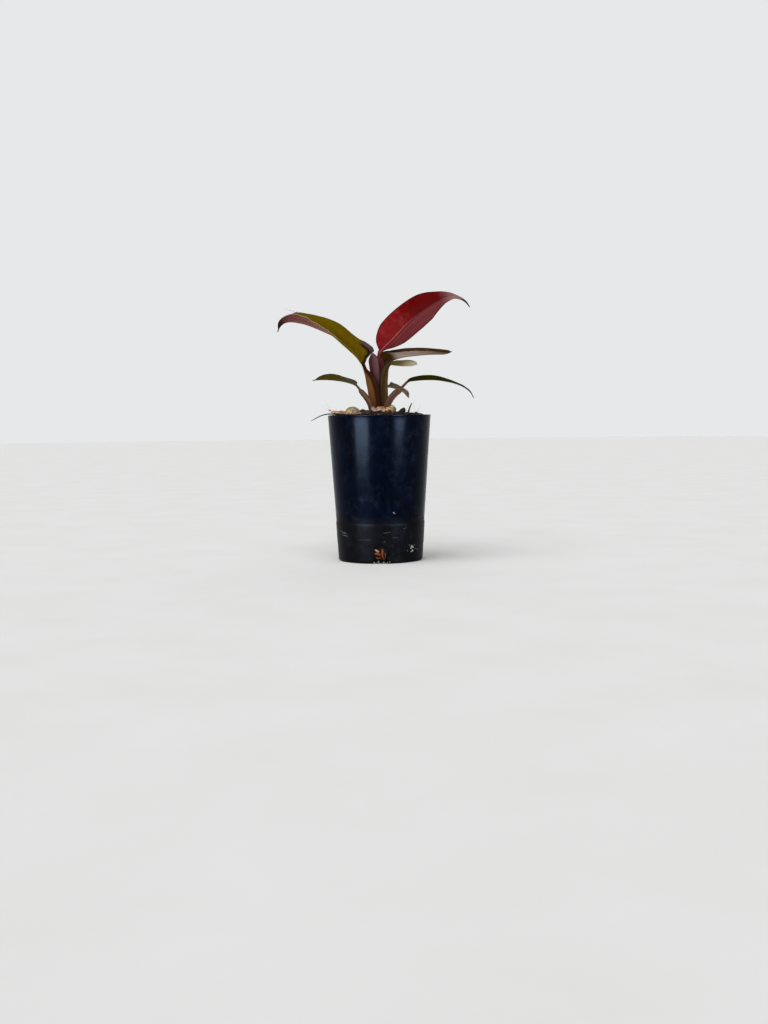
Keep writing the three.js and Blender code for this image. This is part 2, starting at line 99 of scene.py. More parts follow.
# %% Colour and node helpers
def linear(hex_colour):
    """An sRGB hex value as linear red, green, blue and full alpha."""
    shares = [((hex_colour >> shift) & 255) / 255 for shift in (16, 8, 0)]
    curve = [s / 12.92 if s <= 0.04045 else ((s + 0.055) / 1.055) ** 2.4 for s in shares]
    return (*curve, 1.0)


def feed(tree, node, inputs):
    """Gives each named input its value, or links it to a socket or a node's first output."""
    for name, value in inputs.items():
        if isinstance(value, bpy.types.Node):
            value = value.outputs[0]
        if isinstance(value, bpy.types.NodeSocket):
            tree.links.new(value, node.inputs[name])
        else:
            node.inputs[name].default_value = value


def add(tree, kind, inputs=None, stops=None, **settings):
    """Adds a node of a kind with its settings, what feeds it and a ramp's (place, colour) stops."""
    made = tree.nodes.new(kind)
    for name, value in settings.items():
        setattr(made, name, value)
    feed(tree, made, inputs or {})
    for i, (place, colour) in enumerate(stops or []):
        elements = made.color_ramp.elements
        stop = elements[i] if i < len(elements) else elements.new(place)
        stop.position = place
        stop.color = linear(colour)
    return made


def new_material(name):
    """A material, its tree and shader, and the socket that gives a point's place on a piece."""
    made = bpy.data.materials.new(name)
    made.use_nodes = True
    tree = made.node_tree
    tree.nodes.clear()
    shader = add(tree, "ShaderNodeBsdfPrincipled")
    add(tree, "ShaderNodeOutputMaterial", {"Surface": shader})
    return made, tree, shader, add(tree, "ShaderNodeTexCoord").outputs["Object"]


def per_mm(size):
    """The texture scale whose pattern repeats about once in so many millimetres."""
    return 1 / (size * MM)


def kept_facts(tree, name):
    """The three numbers that each point of a piece keeps under a name."""
    kept = add(tree, "ShaderNodeAttribute", attribute_name=name).outputs["Vector"]
    return add(tree, "ShaderNodeSeparateXYZ", {"Vector": kept}).outputs


def dress(tree, shader, tone, rough, gloss, relief=None):
    """Feeds a shader its tone, roughness, gloss level and relief of (height, strength, mm)."""
    feed(tree, shader, {"Base Color": tone, "Roughness": rough, "Specular IOR Level": gloss})
    if relief:
        height, strength, depth = relief
        feed(tree, shader, {"Normal": add(tree, "ShaderNodeBump", {
            "Height": height, "Strength": strength, "Distance": depth * MM,
        })})


print("Mid grey as linear:", round(linear(0x808080)[0], 3))

# %% [markdown]
# The room is pale, with one very soft light from above, like a bright overcast window. Glossy
# black plastic shows its surroundings more than its own colour, so what it mirrors matters: the
# surround is dim on the viewer's side and pale behind, while the camera sees an even backdrop. A
# picture of a room could light the scene too, but would mirror things that aren't there.

# %% Surround
PALE = 0xE7E8E9
FRONT_DIM = 0.08
BACK_PALE = 0.8
SUN = dict(strength=2.7, spread=70, lean=24, slant=-14)

world = bpy.data.worlds.new("pale room")
bpy.context.scene.world = world
world.use_nodes = True
room = world.node_tree
room.nodes.clear()
direction = add(room, "ShaderNodeSeparateXYZ", {
    "Vector": add(room, "ShaderNodeTexCoord").outputs["Generated"],
})
behind = add(room, "ShaderNodeMapRange", {
    "Value": direction.outputs["Y"],
    "From Min": 0.25, "From Max": 0.75, "To Min": FRONT_DIM, "To Max": BACK_PALE,
}, interpolation_type="SMOOTHSTEP")
surround = add(room, "ShaderNodeBackground", {"Color": linear(0xFFFFFF), "Strength": behind})
backdrop = add(room, "ShaderNodeBackground", {"Color": linear(PALE), "Strength": 1.0})
seen = add(room, "ShaderNodeMixShader", {
    0: add(room, "ShaderNodeLightPath").outputs["Is Camera Ray"],
    1: surround,
    2: backdrop,
})
add(room, "ShaderNodeOutputWorld", {"Surface": seen})

sun_data = bpy.data.lights.new("overhead", "SUN")
sun_data.energy = SUN["strength"]
sun_data.angle = math.radians(SUN["spread"])
sun = put("overhead", sun_data)
sun.rotation_euler = (math.radians(SUN["lean"]), math.radians(SUN["slant"]), 0)
bpy.context.scene.view_settings.view_transform = "Standard"
print("Sun strength:", sun_data.energy)

# %% [markdown]
# A tall panel stands on each side in front, and the mirror images of the two are the upright
# streaks on the pot. A third, slim panel gives the faint line between them. The panels are far
# brighter than a window, and the gloss of the pot and leaves is set very low to match: the
# streaks come out as strong as they should, and the rest of the room hardly shows. Neither the
# camera nor matt surfaces see the panels. Sizes here are in metres.

# %% Light panels
PANEL_DISTANCE = 0.42
PANEL_TOP = 0.7


def light_panel(name, azimuth, width, low, radiance, colour):
    """A tall soft panel that stands round the pot; azimuth 0 is in front of it, in degrees."""
    height = PANEL_TOP - low
    data = bpy.data.lights.new(name, "AREA")
    data.shape = "RECTANGLE"
    data.size = width
    data.size_y = height
    data.energy = radiance * math.pi * width * height
    data.color = linear(colour)[:3]
    made = put(name, data)
    turn = math.radians(azimuth)
    made.location = (PANEL_DISTANCE * math.sin(turn), -PANEL_DISTANCE * math.cos(turn),
                     (low + PANEL_TOP) / 2)
    facing = Vector((-made.location.x, -made.location.y, 0))
    made.rotation_euler = facing.to_track_quat("-Z", "Y").to_euler()
    made.visible_camera = False
    made.visible_diffuse = False


light_panel("panel_left", azimuth=-39, width=0.22, low=0.026, radiance=62, colour=0xFFF0E2)
light_panel("panel_right", azimuth=44, width=0.14, low=0.06, radiance=86, colour=0xFFF0E2)
light_panel("panel_slim", azimuth=-2, width=0.014, low=0.06, radiance=22, colour=0xE8F0FF)

# %% [markdown]
# The pot stands on a sweep of matt pale paper. A flat disc is enough, if it is wide enough to
# reach the horizon of every view. It has a faint cloudiness of about 60 mm, and no gloss, so that
# no panel glows on it when it is seen from behind.

# %% Floor
FLOOR_RADIUS = 6

floor_mesh = bpy.data.meshes.new("floor")
maker = bmesh.new()
bmesh.ops.create_circle(maker, cap_ends=True, segments=96, radius=FLOOR_RADIUS)
maker.to_mesh(floor_mesh)
maker.free()
floor = put("floor", floor_mesh)
paper, tree, shader, where = new_material("matt paper sweep")
cloudy = add(tree, "ShaderNodeTexNoise", {"Vector": where, "Scale": per_mm(60), "Detail": 3})
paper_tone = add(tree, "ShaderNodeValToRGB", {"Fac": cloudy},
                 stops=[(0.3, 0xE2E2E1), (0.7, 0xE6E6E6)])
dress(tree, shader, paper_tone, 0.9, 0.0)
floor_mesh.materials.append(paper)
print("Floor radius, metres:", FLOOR_RADIUS)

# %% [markdown]
# Every piece is made the same way: points in millimetres, faces, a finish and the CAD nodes that
# it stands for. All of them rest in the pot, so all ride on the one body, named root.

# %% Piece helper
def outward(mesh):
    """Turns the faces of closed forms to face out."""
    maker = bmesh.new()
    maker.from_mesh(mesh)
    bmesh.ops.recalc_face_normals(maker, faces=maker.faces)
    maker.to_mesh(mesh)
    maker.free()


def piece(name, points, faces, finish, stands_for=(), facts=None, sharp=50):
    """Makes a smooth mesh object, whose edges of more than sharp degrees stay crisp; facts are
    named lists of vectors, one for each point."""
    mesh = bpy.data.meshes.new(name)
    mesh.from_pydata((np.asarray(points, float) * MM).tolist(), [], faces)
    for fact, values in (facts or {}).items():
        store = mesh.attributes.new(fact, "FLOAT_VECTOR", "POINT")
        store.data.foreach_set("vector", np.asarray(values, np.float32).ravel())
    outward(mesh)
    mesh.shade_smooth()
    mesh.set_sharp_from_angle(angle=math.radians(sharp))
    mesh.materials.append(finish)
    made = put(name, mesh)
    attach(made, "root")
    if stands_for:
        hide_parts(*stands_for)
    triangles = sum(len(p.vertices) - 2 for p in mesh.polygons)
    print(f"{name}: {triangles} triangles")
    return made


print("One millimetre in Blender's units:", MM)

# %% [markdown]
# Small forms are gathered in a Shape before they become one piece. Most are a skin over rings of
# points, or a tube that tapers along a path. A curve with a bevel would make a tube too, but only
# a mesh is sure to be kept when the model is saved.

# %% Shapes
# A heading that no tube here starts along
ASIDE = (0.31, 0.12, 0.94)


class Shape:
    """Points and faces that are gathered from several small forms into one mesh."""

    def __init__(self):
        self.points, self.faces, self.facts = [], [], []

    def take(self, points, faces, fact=(0, 0, 0)):
        """fact is one vector for the whole form, or a list with one for each point."""
        start = len(self.points)
        self.points.extend(list(p) for p in points)
        self.faces.extend([start + i for i in face] for face in faces)
        self.facts.extend(fact if isinstance(fact, list) else [fact] * len(points))


def polar(reach, angle):
    """How far across and back a place at a reach from the axis lies."""
    return reach * math.cos(angle), reach * math.sin(angle)


def ring_faces(rings, count, close_ends=True):
    """Faces of a skin over rings of points, each with the same count."""
    faces = []
    for r in range(rings - 1):
        for j in range(count):
            a, b = r * count + j, r * count + (j + 1) % count
            faces.append([a, b, b + count, a + count])
    if close_ends:
        faces.append(list(range(count))[::-1])
        faces.append([(rings - 1) * count + j for j in range(count)])
    return faces


def tube(path, radii, sides):
    """A tapering round form along a path: its points and faces."""
    path = np.asarray(path, float)
    ahead = np.gradient(path, axis=0)
    ahead /= np.linalg.norm(ahead, axis=1, keepdims=True)
    side = np.cross(ahead[0], ASIDE)
    points = []
    for centre, forward, radius in zip(path, ahead, radii):
        side = side - forward * (side @ forward)
        side /= np.linalg.norm(side)
        other = np.cross(forward, side)
        for j in range(sides):
            angle = 2 * math.pi * j / sides
            points.append(centre + radius * (math.cos(angle) * side + math.sin(angle) * other))
    return points, ring_faces(len(path), sides)


def spun(turn):
    """A turn about X, then Y, then Z, in radians."""
    x, y, z = (Matrix.Rotation(angle, 3, axis) for angle, axis in zip(turn, "XYZ"))
    return z @ y @ x


def stretched(maker, size):
    """Points and faces of a bmesh form, stretched along each axis, and frees the form."""
    points = [Vector([a * b for a, b in zip(v.co, size)]) for v in maker.verts]
    faces = [[v.index for v in f.verts] for f in maker.faces]
    maker.free()
    return points, faces


print("Faces of a tube with 3 rings:", len(tube([(0, 0, z) for z in range(3)], [1, 1, 1], 8)[1]))

# %% [markdown]
# The nursery pot is one thin moulding of recycled polypropylene. It tapers, and has a nearly
# flush rim, a slight step 30 mm above the table, a rounded foot and four drainage slots. A
# cylinder with loops pushed about would do, but a turned outline is how its mould is drawn, so
# the outline is listed once and turned round the axis.

# %% Pot outline
POT = dict(height=112, lip=0.15, lip_height=1.6, rim_round=0.8, top_radius=39.7, step_height=30,
           step_radius=34.1, proud=0.3, edge_round=0.3, foot_radius=32.9, foot_round=2,
           hollow=0.9, wall=0.9, floor=1.4)
POT_SIDES = 240
POT_SHARP = 40
ON_AXIS = 1e-6


def arc(centre, radius, start, end, steps):
    """Points on an arc in the outline's plane; angles in degrees."""
    turns = [math.radians(start + (end - start) * i / steps) for i in range(steps + 1)]
    return [(centre[0] + radius * math.cos(t), centre[1] + radius * math.sin(t)) for t in turns]


def straight(start, end, steps):
    """Points from start up to but without end."""
    return [tuple(a + (b - a) * i / steps for a, b in zip(start, end)) for i in range(steps)]


def wall_radius(height):
    """Radius of the pot's outer wall at a height."""
    foot, step = POT["foot_radius"], POT["step_radius"]
    if height < POT["step_height"]:
        return foot + height / POT["step_height"] * (step + POT["proud"] - foot)
    share = (height - POT["step_height"]) / (POT["height"] - POT["step_height"])
    return step + share * (POT["top_radius"] - step)


def pot_outline():
    """The pot's outline from the middle of its underside, up outside and down inside."""
    height, step_height, step = POT["height"], POT["step_height"], POT["step_radius"]
    foot, foot_round = POT["foot_radius"], POT["foot_round"]
    heel, band = foot - foot_round, step + POT["proud"]
    neck = height - POT["lip_height"]
    neck_radius = wall_radius(neck)
    rim, rim_round, edge = neck_radius + POT["lip"], POT["rim_round"], POT["edge_round"]
    outside = [(0, POT["hollow"]), (heel - 3.2, POT["hollow"]), (heel - 2.6, 0)]
    outside += arc((heel, foot_round), foot_round, -90, -4, 8)
    outside += straight((foot + 0.01, foot_round + 0.2), (band, step_height - 0.4), 14)
    outside += arc((band - edge, step_height - edge), edge, 0, 90, 4)
    outside += [(step, step_height + 0.25)]
    outside += straight((step + 0.03, step_height + 0.7), (neck_radius, neck), 30)
    outside += straight((neck_radius, neck), (rim, neck + rim_round), 4)
    outside += arc((rim + 0.05 - rim_round, height - rim_round), rim_round, 0, 90, 8)
    inner, lining = POT["top_radius"] - POT["wall"], foot - POT["wall"]
    inside = arc((inner + edge, height - edge), edge, 90, 180, 4)
    inside += straight((inner, height - 1), (step - POT["wall"], step_height), 12)
    inside += [(lining, POT["floor"] + 2), (lining - 1.6, POT["floor"]), (0, POT["floor"])]
    return outside + inside


def turned(outline, sides):
    """An outline of (radius, height) turned round the axis: points and faces."""
    points, starts = [], []
    for radius, height in outline:
        starts.append(len(points))
        if radius < ON_AXIS:
            points.append((0, 0, height))
            continue
        for j in range(sides):
            points.append((*polar(radius, 2 * math.pi * j / sides), height))
    faces = []
    for i in range(len(outline) - 1):
        low, high = starts[i], starts[i + 1]
        for j in range(sides):
            k = (j + 1) % sides
            if outline[i][0] < ON_AXIS:
                faces.append([low, high + j, high + k])
            elif outline[i + 1][0] < ON_AXIS:
                faces.append([low + j, low + k, high])
            else:
                faces.append([low + j, low + k, high + k, high + j])
    return points, faces


print("Pot wall radius at mid height, mm:", round(wall_radius(56), 2))

# %% [markdown]
# The pot's plastic is polypropylene, injection moulded: a near-black navy with a low sheen whose
# streaks are soft, because the mould's steel was only fairly smooth. Its IOR is 1.49. Handling
# leaves pale dust in patches of about 12 mm, as ragged specks over a thin mottled film. Below the
# step the plastic is duller from standing in wet trays, and its tone is browner there: a painted
# reflection of a wooden table. Real dust is finer than a pixel, 0.8 mm here, so its specks are
# drawn 1.4 mm apart, and a finer noise pushes them about so that they don't read as round dots.

# %% Pot plastic
# The lower band is duller and carries a painted reflection in its tone. It fades out between these
# heights.
LOWER_BAND_TOP, UPPER_BAND_FROM = 30 * MM, 37 * MM
STRAY = 1.8 * MM
SPECK_SHARE, FILM_SHARE = 0.14, 0.045


def pot_plastic():
    made, tree, shader, where = new_material("moulded navy polypropylene")
    height = add(tree, "ShaderNodeSeparateXYZ", {"Vector": where}).outputs["Z"]
    below_step = add(tree, "ShaderNodeMapRange", {
        "Value": height, "From Min": LOWER_BAND_TOP, "From Max": UPPER_BAND_FROM, "To Min": 1, "To Max": 0,
    })
    cloud = add(tree, "ShaderNodeTexNoise", {"Vector": where, "Scale": per_mm(22), "Detail": 3})
    base = add(tree, "ShaderNodeValToRGB", {"Fac": cloud},
               stops=[(0.3, 0x02040E), (0.7, 0x040D24)])
    # Below the step the tone turns browner: a painted reflection of a wooden table. The higher
    # roughness there is the plastic's own.
    base_and_painted_reflection = add(tree, "ShaderNodeMix", {
        0: below_step, 6: base, 7: linear(0x0F0D0F),
    }, data_type="RGBA")

    stray = add(tree, "ShaderNodeTexNoise", {"Vector": where, "Scale": per_mm(0.9), "Detail": 2})
    strayed = add(tree, "ShaderNodeVectorMath", {
        0: stray.outputs["Color"], 1: (STRAY, STRAY, STRAY), 2: where,
    }, operation="MULTIPLY_ADD")
    specks = add(tree, "ShaderNodeTexVoronoi", {"Vector": strayed, "Scale": per_mm(1.4)})
    speck = add(tree, "ShaderNodeMapRange", {
        "Value": specks, "From Min": 0.1, "From Max": 0.3,
        "To Min": SPECK_SHARE, "To Max": 0,
    })
    rub = add(tree, "ShaderNodeTexNoise", {"Vector": where, "Scale": per_mm(5), "Detail": 5})
    film = add(tree, "ShaderNodeMapRange", {
        "Value": rub, "From Min": 0.42, "From Max": 0.68, "To Max": FILM_SHARE,
    })
    patch = add(tree, "ShaderNodeTexNoise", {"Vector": where, "Scale": per_mm(12), "Detail": 4})
    patchy = add(tree, "ShaderNodeMapRange", {"Value": patch, "From Min": 0.44, "From Max": 0.68})
    marks = add(tree, "ShaderNodeMath", {0: speck, 1: film}, operation="ADD")
    veil = add(tree, "ShaderNodeMath", {0: patchy, 1: marks}, operation="MULTIPLY")
    dusty = add(tree, "ShaderNodeMix", {
        0: veil, 6: base_and_painted_reflection.outputs[2], 7: linear(0x6A8098),
    }, data_type="RGBA")

    sheen = add(tree, "ShaderNodeMapRange", {
        "Value": rub, "From Min": 0.3, "From Max": 0.7,
        "To Min": 0.17, "To Max": 0.25,
    })
    dull = add(tree, "ShaderNodeMath", {0: below_step, 1: 0.16, 2: sheen},
               operation="MULTIPLY_ADD")
    dress(tree, shader, dusty.outputs[2], dull, 0.036, (rub, 0.12, 0.05))
    feed(tree, shader, {"IOR": 1.49, "Specular Tint": linear(0xA8CCFF)})
    return made


pot_points, pot_faces = turned(pot_outline(), POT_SIDES)
pot = piece("pot_moulding", pot_points, pot_faces, pot_plastic(),
            ["nursery_pot"], sharp=POT_SHARP)

# %% [markdown]
# The slots are cut by booleans, each on a scratch block with rounded upper corners, and the
# blocks are deleted after that. Cutting keeps the wall's own thickness in the slot's edge, which
# a dark decal would not show.

# %% Drainage slots
SLOT = dict(count=4, width=11.2, height=13.2, depth=9, corner=1.6, taper=0.6)


def slot_block(angle):
    """A block that reaches through wall and floor at the foot."""
    half, top, corner = SLOT["width"] / 2, SLOT["height"], SLOT["corner"]
    right = half - SLOT["taper"]
    loop = [(-half, -1), (half, -1), (right, top - corner)]
    loop += arc((right - corner, top - corner), corner, 0, 90, 6)
    loop += [(-x, z) for x, z in reversed(loop[2:])]
    near, far = -POT["foot_radius"] - 3, -POT["foot_radius"] + SLOT["depth"]
    points = [(x, y, z) for y in (near, far) for x, z in loop]
    turn = Matrix.Rotation(angle, 3, "Z")
    mesh = bpy.data.meshes.new("slot_block")
    mesh.from_pydata([turn @ Vector(p) * MM for p in points], [], ring_faces(2, len(loop)))
    outward(mesh)
    return put("slot_block", mesh)


blocks = [slot_block(2 * math.pi * i / SLOT["count"]) for i in range(SLOT["count"])]
for block in blocks:
    cut = pot.modifiers.new("slot", "BOOLEAN")
    cut.operation = "DIFFERENCE"
    cut.solver = "EXACT"
    cut.object = block
bpy.context.view_layer.update()
graph = bpy.context.evaluated_depsgraph_get()
whole = bpy.data.meshes.new_from_object(pot.evaluated_get(graph))
pot.modifiers.clear()
pot.data = whole
pot.data.name = "pot_moulding"
pot.data.set_sharp_from_angle(angle=math.radians(POT_SHARP))
for block in blocks:
    bpy.data.objects.remove(block)
print("Pot faces after the cuts:", len(pot.data.polygons))

# %% [markdown]
# A leaf is drawn from a few measured points, and two helpers read between them. One eases a list
# of keys, such as the angle of a fold from the leaf's base to its tip. The other runs a
# centripetal curve through the points, which, unlike a plain spline, doesn't overshoot where they
# lie close together.

# %% Keys and curves
SPAN_SAMPLES = 60


def keyed(keys, place):
    """Reads a list of [place, value, ...] keys at a place between them, eased."""
    last = keys[0]
    for key in keys:
        if key[0] >= place:
            share = (place - last[0]) / (key[0] - last[0]) if key[0] > last[0] else 0
            eased = share * share * (3 - 2 * share)
            return [a + (b - a) * eased for a, b in zip(last[1:], key[1:])]
        last = key
    return last[1:]


def smooth(low, high, value):
    """Rises from 0 at low to 1 at high with soft ends."""
    share = np.clip((value - low) / (high - low), 0, 1)
    return share * share * (3 - 2 * share)


def curve_through(points, samples=SPAN_SAMPLES):
    """Fine points of a curve through points, and their lengths from its start."""
    p = np.asarray(points, float)
    p = np.vstack([2 * p[0] - p[1], p, 2 * p[-1] - p[-2]])
    fine = []
    for i in range(1, len(p) - 2):
        gaps = [max(np.linalg.norm(p[i + k] - p[i + k - 1]) ** 0.5, 1e-4) for k in (0, 1, 2)]
        leave = ((p[i] - p[i - 1]) / gaps[0] - (p[i + 1] - p[i - 1]) / (gaps[0] + gaps[1])
                 + (p[i + 1] - p[i]) / gaps[1]) * gaps[1]
        arrive = ((p[i + 1] - p[i]) / gaps[1] - (p[i + 2] - p[i]) / (gaps[1] + gaps[2])
                  + (p[i + 2] - p[i + 1]) / gaps[2]) * gaps[1]
        t = np.arange(samples)[:, None] / samples
        fine.append(p[i] + leave * t + (3 * (p[i + 1] - p[i]) - 2 * leave - arrive) * t ** 2
                    + (2 * (p[i] - p[i + 1]) + leave + arrive) * t ** 3)
    fine = np.vstack(fine + [p[-2][None]])
    steps = np.linalg.norm(np.diff(fine, axis=0), axis=1)
    return fine, np.concatenate([[0], np.cumsum(steps)])


print("A curve through 3 points, length:",
      round(curve_through([(0, 0, 0), (1, 0, 0), (2, 0, 0)])[1][-1], 3))

# %% [markdown]
# A leaf is one continuous form: a sheath that clasps the stem, a round stalk above it, and a
# blade folded along its midrib. It could be sculpted, but a skin over sections that follow one
# curve is exact, so that each half, vein and margin can be named. A section gives the lower and
# upper skin, in millimetres across and up, for places x from -1 at the left margin to 1 at the
# right. The blade thins towards its margin, has a groove over the rib and a keel below it.

# %% Leaf sections
BLADE_HALF = 0.32
LEAST_HALF = 0.3
HOOD_FROM, HOOD_OVER = 0.86, 0.142
THICK_AT_RIB, THINNER_AT_MARGIN = 0.27, 0.17
GROOVE_DEPTH, GROOVE_HALF = 0.16, 0.5
KEEL_HALF, KEEL_FADE = 0.17, 1.15
WAVES = 17


def half_widths(leaf, place, x):
    """Width of each half in mm at a place from the base (0) to the tip (1), for each x."""
    if "outline" in leaf:
        fine, _ = curve_through(leaf["outline"], samples=12)
        left, right = (np.interp(place, fine[:, 0], fine[:, k]) for k in (1, 2))
        return np.maximum(np.where(x < 0, left, right), LEAST_HALF)
    widest = leaf["widest"]
    if place < widest:
        share = leaf["base"] + (1 - leaf["base"]) * math.sqrt(1 - (1 - place / widest) ** 2)
    else:
        share = max(math.cos(math.pi / 2 * (place - widest) / (1 - widest)), 0) ** leaf["taper"]
    return np.full_like(x, max(leaf["half"] * share, LEAST_HALF))


def stalk_section(leaf, share, x):
    """The stalk's two skins and half width: an open crescent at its foot, round above."""
    half, depth, until = leaf["sheath"]
    opened = 1 - smooth(until - leaf.get("flare", 0.16), until, share)
    hood = 1
    if not leaf["rib"]:
        hood = max(0, 1 - max(0, (share - HOOD_FROM) / HOOD_OVER) ** 1.7) ** 0.8
    round_half = leaf["thick"] / 2
    slim = leaf.get("waist", 1) + (1 - leaf.get("waist", 1)) * smooth(0.1, 0.85, share)
    width = round_half + (half * hood * slim - round_half) * opened
    under = round_half + (depth - round_half) * opened - BLADE_HALF
    over = round_half + (leaf["thick"] - depth - round_half) * opened - BLADE_HALF
    edge = BLADE_HALF - 0.16 * opened * np.abs(x) ** 5
    arch = np.sqrt(1 - x * x)
    fray = 0.12 * opened * np.abs(x) ** 6 * math.sin(40 * share + leaf["bearing"])
    lower = np.stack([width * x, -under * arch - edge + fray, 0 * x], 1)
    upper = np.stack([width * x, over * arch + edge + fray, 0 * x], 1)
    return lower, upper, width


def vein_phase(leaf, place, x, length):
    """Counts the side veins: whole numbers lie on one, which leaves the rib and bends forward."""
    out = leaf["half"] * np.abs(x)
    shift = np.where(x < 0, 0.0, 0.5)
    return (place * length - out * (0.42 + 0.4 * np.abs(x))) / leaf["vein_gap"] + shift


def blade_section(leaf, place, x, length):
    """The blade's two skins and half widths: folded halves, quilted between the veins."""
    folds = keyed(leaf["folds"], place)
    width = half_widths(leaf, place, x)
    reach, side = np.abs(x), np.sign(x)
    fold = smooth(0.8, 4, width) * np.radians(np.where(x < 0, folds[0], folds[1]))
    rise = fold * (1.12 - 0.3 * reach)
    wave = leaf["wave"] * reach ** 2 * np.sin(WAVES * place + side)
    phase = vein_phase(leaf, place, x, length)
    bulge = leaf["quilt"] * (1 - np.abs(np.cos(np.pi * phase)) ** 3)
    inside = smooth(0.03, 0.25, reach) * (1 - smooth(0.75, 1, reach)) * smooth(1.5, 6, width)
    quilt = bulge * inside
    back = max(0, 1 - place / 0.3) ** 2
    out = width * reach
    across = side * out * np.cos(rise)
    up = out * np.sin(rise) + wave
    lean = fold * smooth(0, 0.12, reach)
    thin = THICK_AT_RIB - THINNER_AT_MARGIN * reach ** 4
    groove = GROOVE_DEPTH * np.exp(-(out / GROOVE_HALF) ** 2) * smooth(2, 5, width)
    keel = leaf["thick"] / 2 * max(0, 1 - place * KEEL_FADE) * np.exp(-(reach / KEEL_HALF) ** 2)
    dip = back * np.where(x < 0, *leaf["shoulder"]) * reach ** 2
    under, over = thin + keel - quilt, thin - groove + quilt
    lower = np.stack([across + side * np.sin(lean) * under, up - np.cos(lean) * under, dip], 1)
    upper = np.stack([across - side * np.sin(lean) * over, up + np.cos(lean) * over, dip], 1)
    return lower, upper, width


print("Blade thickness at the rib, mm:", 2 * THICK_AT_RIB)

# %% [markdown]
# The sections are set along a curve through the stalk's points and then the rib's. "bearing" is
# where the leaf's back faces, in degrees, "roll" turns the leaf about its own line, "folds" say
# by how much each half rises from flat, and "sheath" is the sheath's half width, depth and end.
# Each point also keeps two facts that the finish will read: where it lies on the leaf, and how
# far it is from the veins, the rib and the margin.

# %% Leaf skin
STALK_LAST = 0.97
BLEND_RINGS = 7
TOWARDS_RIB = 1.25


def leaf_form(leaf):
    """Points, faces and facts of a leaf. leaf_at is (signed reach, place, face up or down), and
    leaf_mm is (vein count, signed millimetres from the rib, millimetres to the margin)."""
    even = np.linspace(-1, 1, leaf["columns"])
    x = np.sign(even) * np.abs(even) ** TOWARDS_RIB
    both = np.concatenate([x, x[::-1]])
    face_sign = np.concatenate([-np.ones_like(x), np.ones_like(x)])
    fine, lengths = curve_through(leaf["stalk"] + leaf["rib"])
    total = lengths[-1]
    joint = lengths[SPAN_SAMPLES * (len(leaf["stalk"]) - 1)] / total
    blade_length = total * (1 - joint)
    bearing = math.radians(leaf["bearing"])
    level = np.array([math.sin(bearing), -math.cos(bearing), 0])
    rings, at_facts, mm_facts = [], [], []

    def on_curve(length):
        return np.array([np.interp(length, lengths, fine[:, k]) for k in range(3)])

    def keep(along, place, lower, upper, width):
        """Sets a section on the curve, a share along it, and writes down its facts."""
        at, step = along * total, 0.002 * total
        forward = on_curve(min(at + step, total)) - on_curve(max(at - step, 0))
        forward /= np.linalg.norm(forward)
        side = level - forward * (level @ forward)
        side /= np.linalg.norm(side)
        face = np.cross(side, forward)
        roll = math.radians(keyed(leaf["roll"], place)[0])
        across = side * math.cos(roll) + face * math.sin(roll)
        up = face * math.cos(roll) - side * math.sin(roll)
        skin = np.vstack([lower, upper[::-1]])
        rings.append(on_curve(at) + skin[:, :1] * across + skin[:, 1:2] * up
                     - skin[:, 2:] * forward)
        at_facts.append(np.stack([both, np.full_like(both, place), face_sign], 1))
        count = vein_phase(leaf, max(place, 0), both, blade_length)
        widths = width + np.zeros_like(x)
        widths = np.concatenate([widths, widths[::-1]])
        mm_facts.append(np.stack([count, both * widths, (1 - np.abs(both)) * widths], 1))

    last_share = STALK_LAST if leaf["rib"] else 1
    for i in range(leaf["stalk_rings"]):
        share = last_share * i / (leaf["stalk_rings"] - 1)
        keep(joint * share, share - 1, *stalk_section(leaf, share, x))
    if leaf["rib"]:
        stalk_end = stalk_section(leaf, last_share, x)
        blade_start = blade_section(leaf, 0, x, blade_length)
        for i in range(1, BLEND_RINGS):
            blend = i / BLEND_RINGS
            at = last_share + (1 - last_share) * blend
            keep(joint * at, at - 1,
                 *(a + (b - a) * blend for a, b in zip(stalk_end, blade_start)))
        for i in range(leaf["blade_rings"] + 1):
            share = i / leaf["blade_rings"]
            place = 0.5 * share + 0.25 * (1 - math.cos(math.pi * share))
            keep(joint + (1 - joint) * place, place, *blade_section(leaf, place, x, blade_length))
    faces = ring_faces(len(rings), 2 * len(x), close_ends=False)
    for start in (0, (len(rings) - 1) * 2 * len(x)):
        for j in range(len(x) - 1):
            k = 2 * len(x) - 1 - j
            faces.append([start + j, start + j + 1, start + k - 1, start + k])
    facts = {"leaf_at": np.vstack(at_facts), "leaf_mm": np.vstack(mm_facts)}
    return np.vstack(rings), faces, facts


def leaf_piece(name, leaf, finish, node):
    """Makes the piece of one leaf, which stands for one CAD node."""
    points, faces, facts = leaf_form(leaf)
    return piece(name, points, faces, finish, [node], facts)


print("Rings that join a stalk to its blade:", BLEND_RINGS - 1)

# %% [markdown]
# Painting a leaf's picture would be quick but would not scale, so its tone is worked out from
# where a point lies on the leaf, as the form wrote it down: which half and how far out, how far
# along, which face, how near a vein, the rib or the margin. Stripes run along the leaf, as its
# fibres do. One helper lays a tone over another where ramps of such values let it.

# %% Places on a leaf
VEIN_LINE = (0.13, 0.03)


def leaf_places(tree, where):
    """Where a point lies in space and on its leaf, as named sockets."""
    reach, along, face = kept_facts(tree, "leaf_at")
    count, off, inset = kept_facts(tree, "leaf_mm")
    stripe_place = add(tree, "ShaderNodeCombineXYZ", {"X": off, "Y": along, "Z": face})
    stripes = add(tree, "ShaderNodeTexNoise", {"Vector": stripe_place, "Scale": 1.5, "Detail": 3})
    between = add(tree, "ShaderNodeMath", {0: count, 1: 0.5}, operation="PINGPONG")
    off_rib = add(tree, "ShaderNodeMath", {0: off}, operation="ABSOLUTE")
    return SimpleNamespace(reach=reach, along=along, face=face, inset=inset, stripes=stripes,
                           between=between, off_rib=off_rib, where=where)


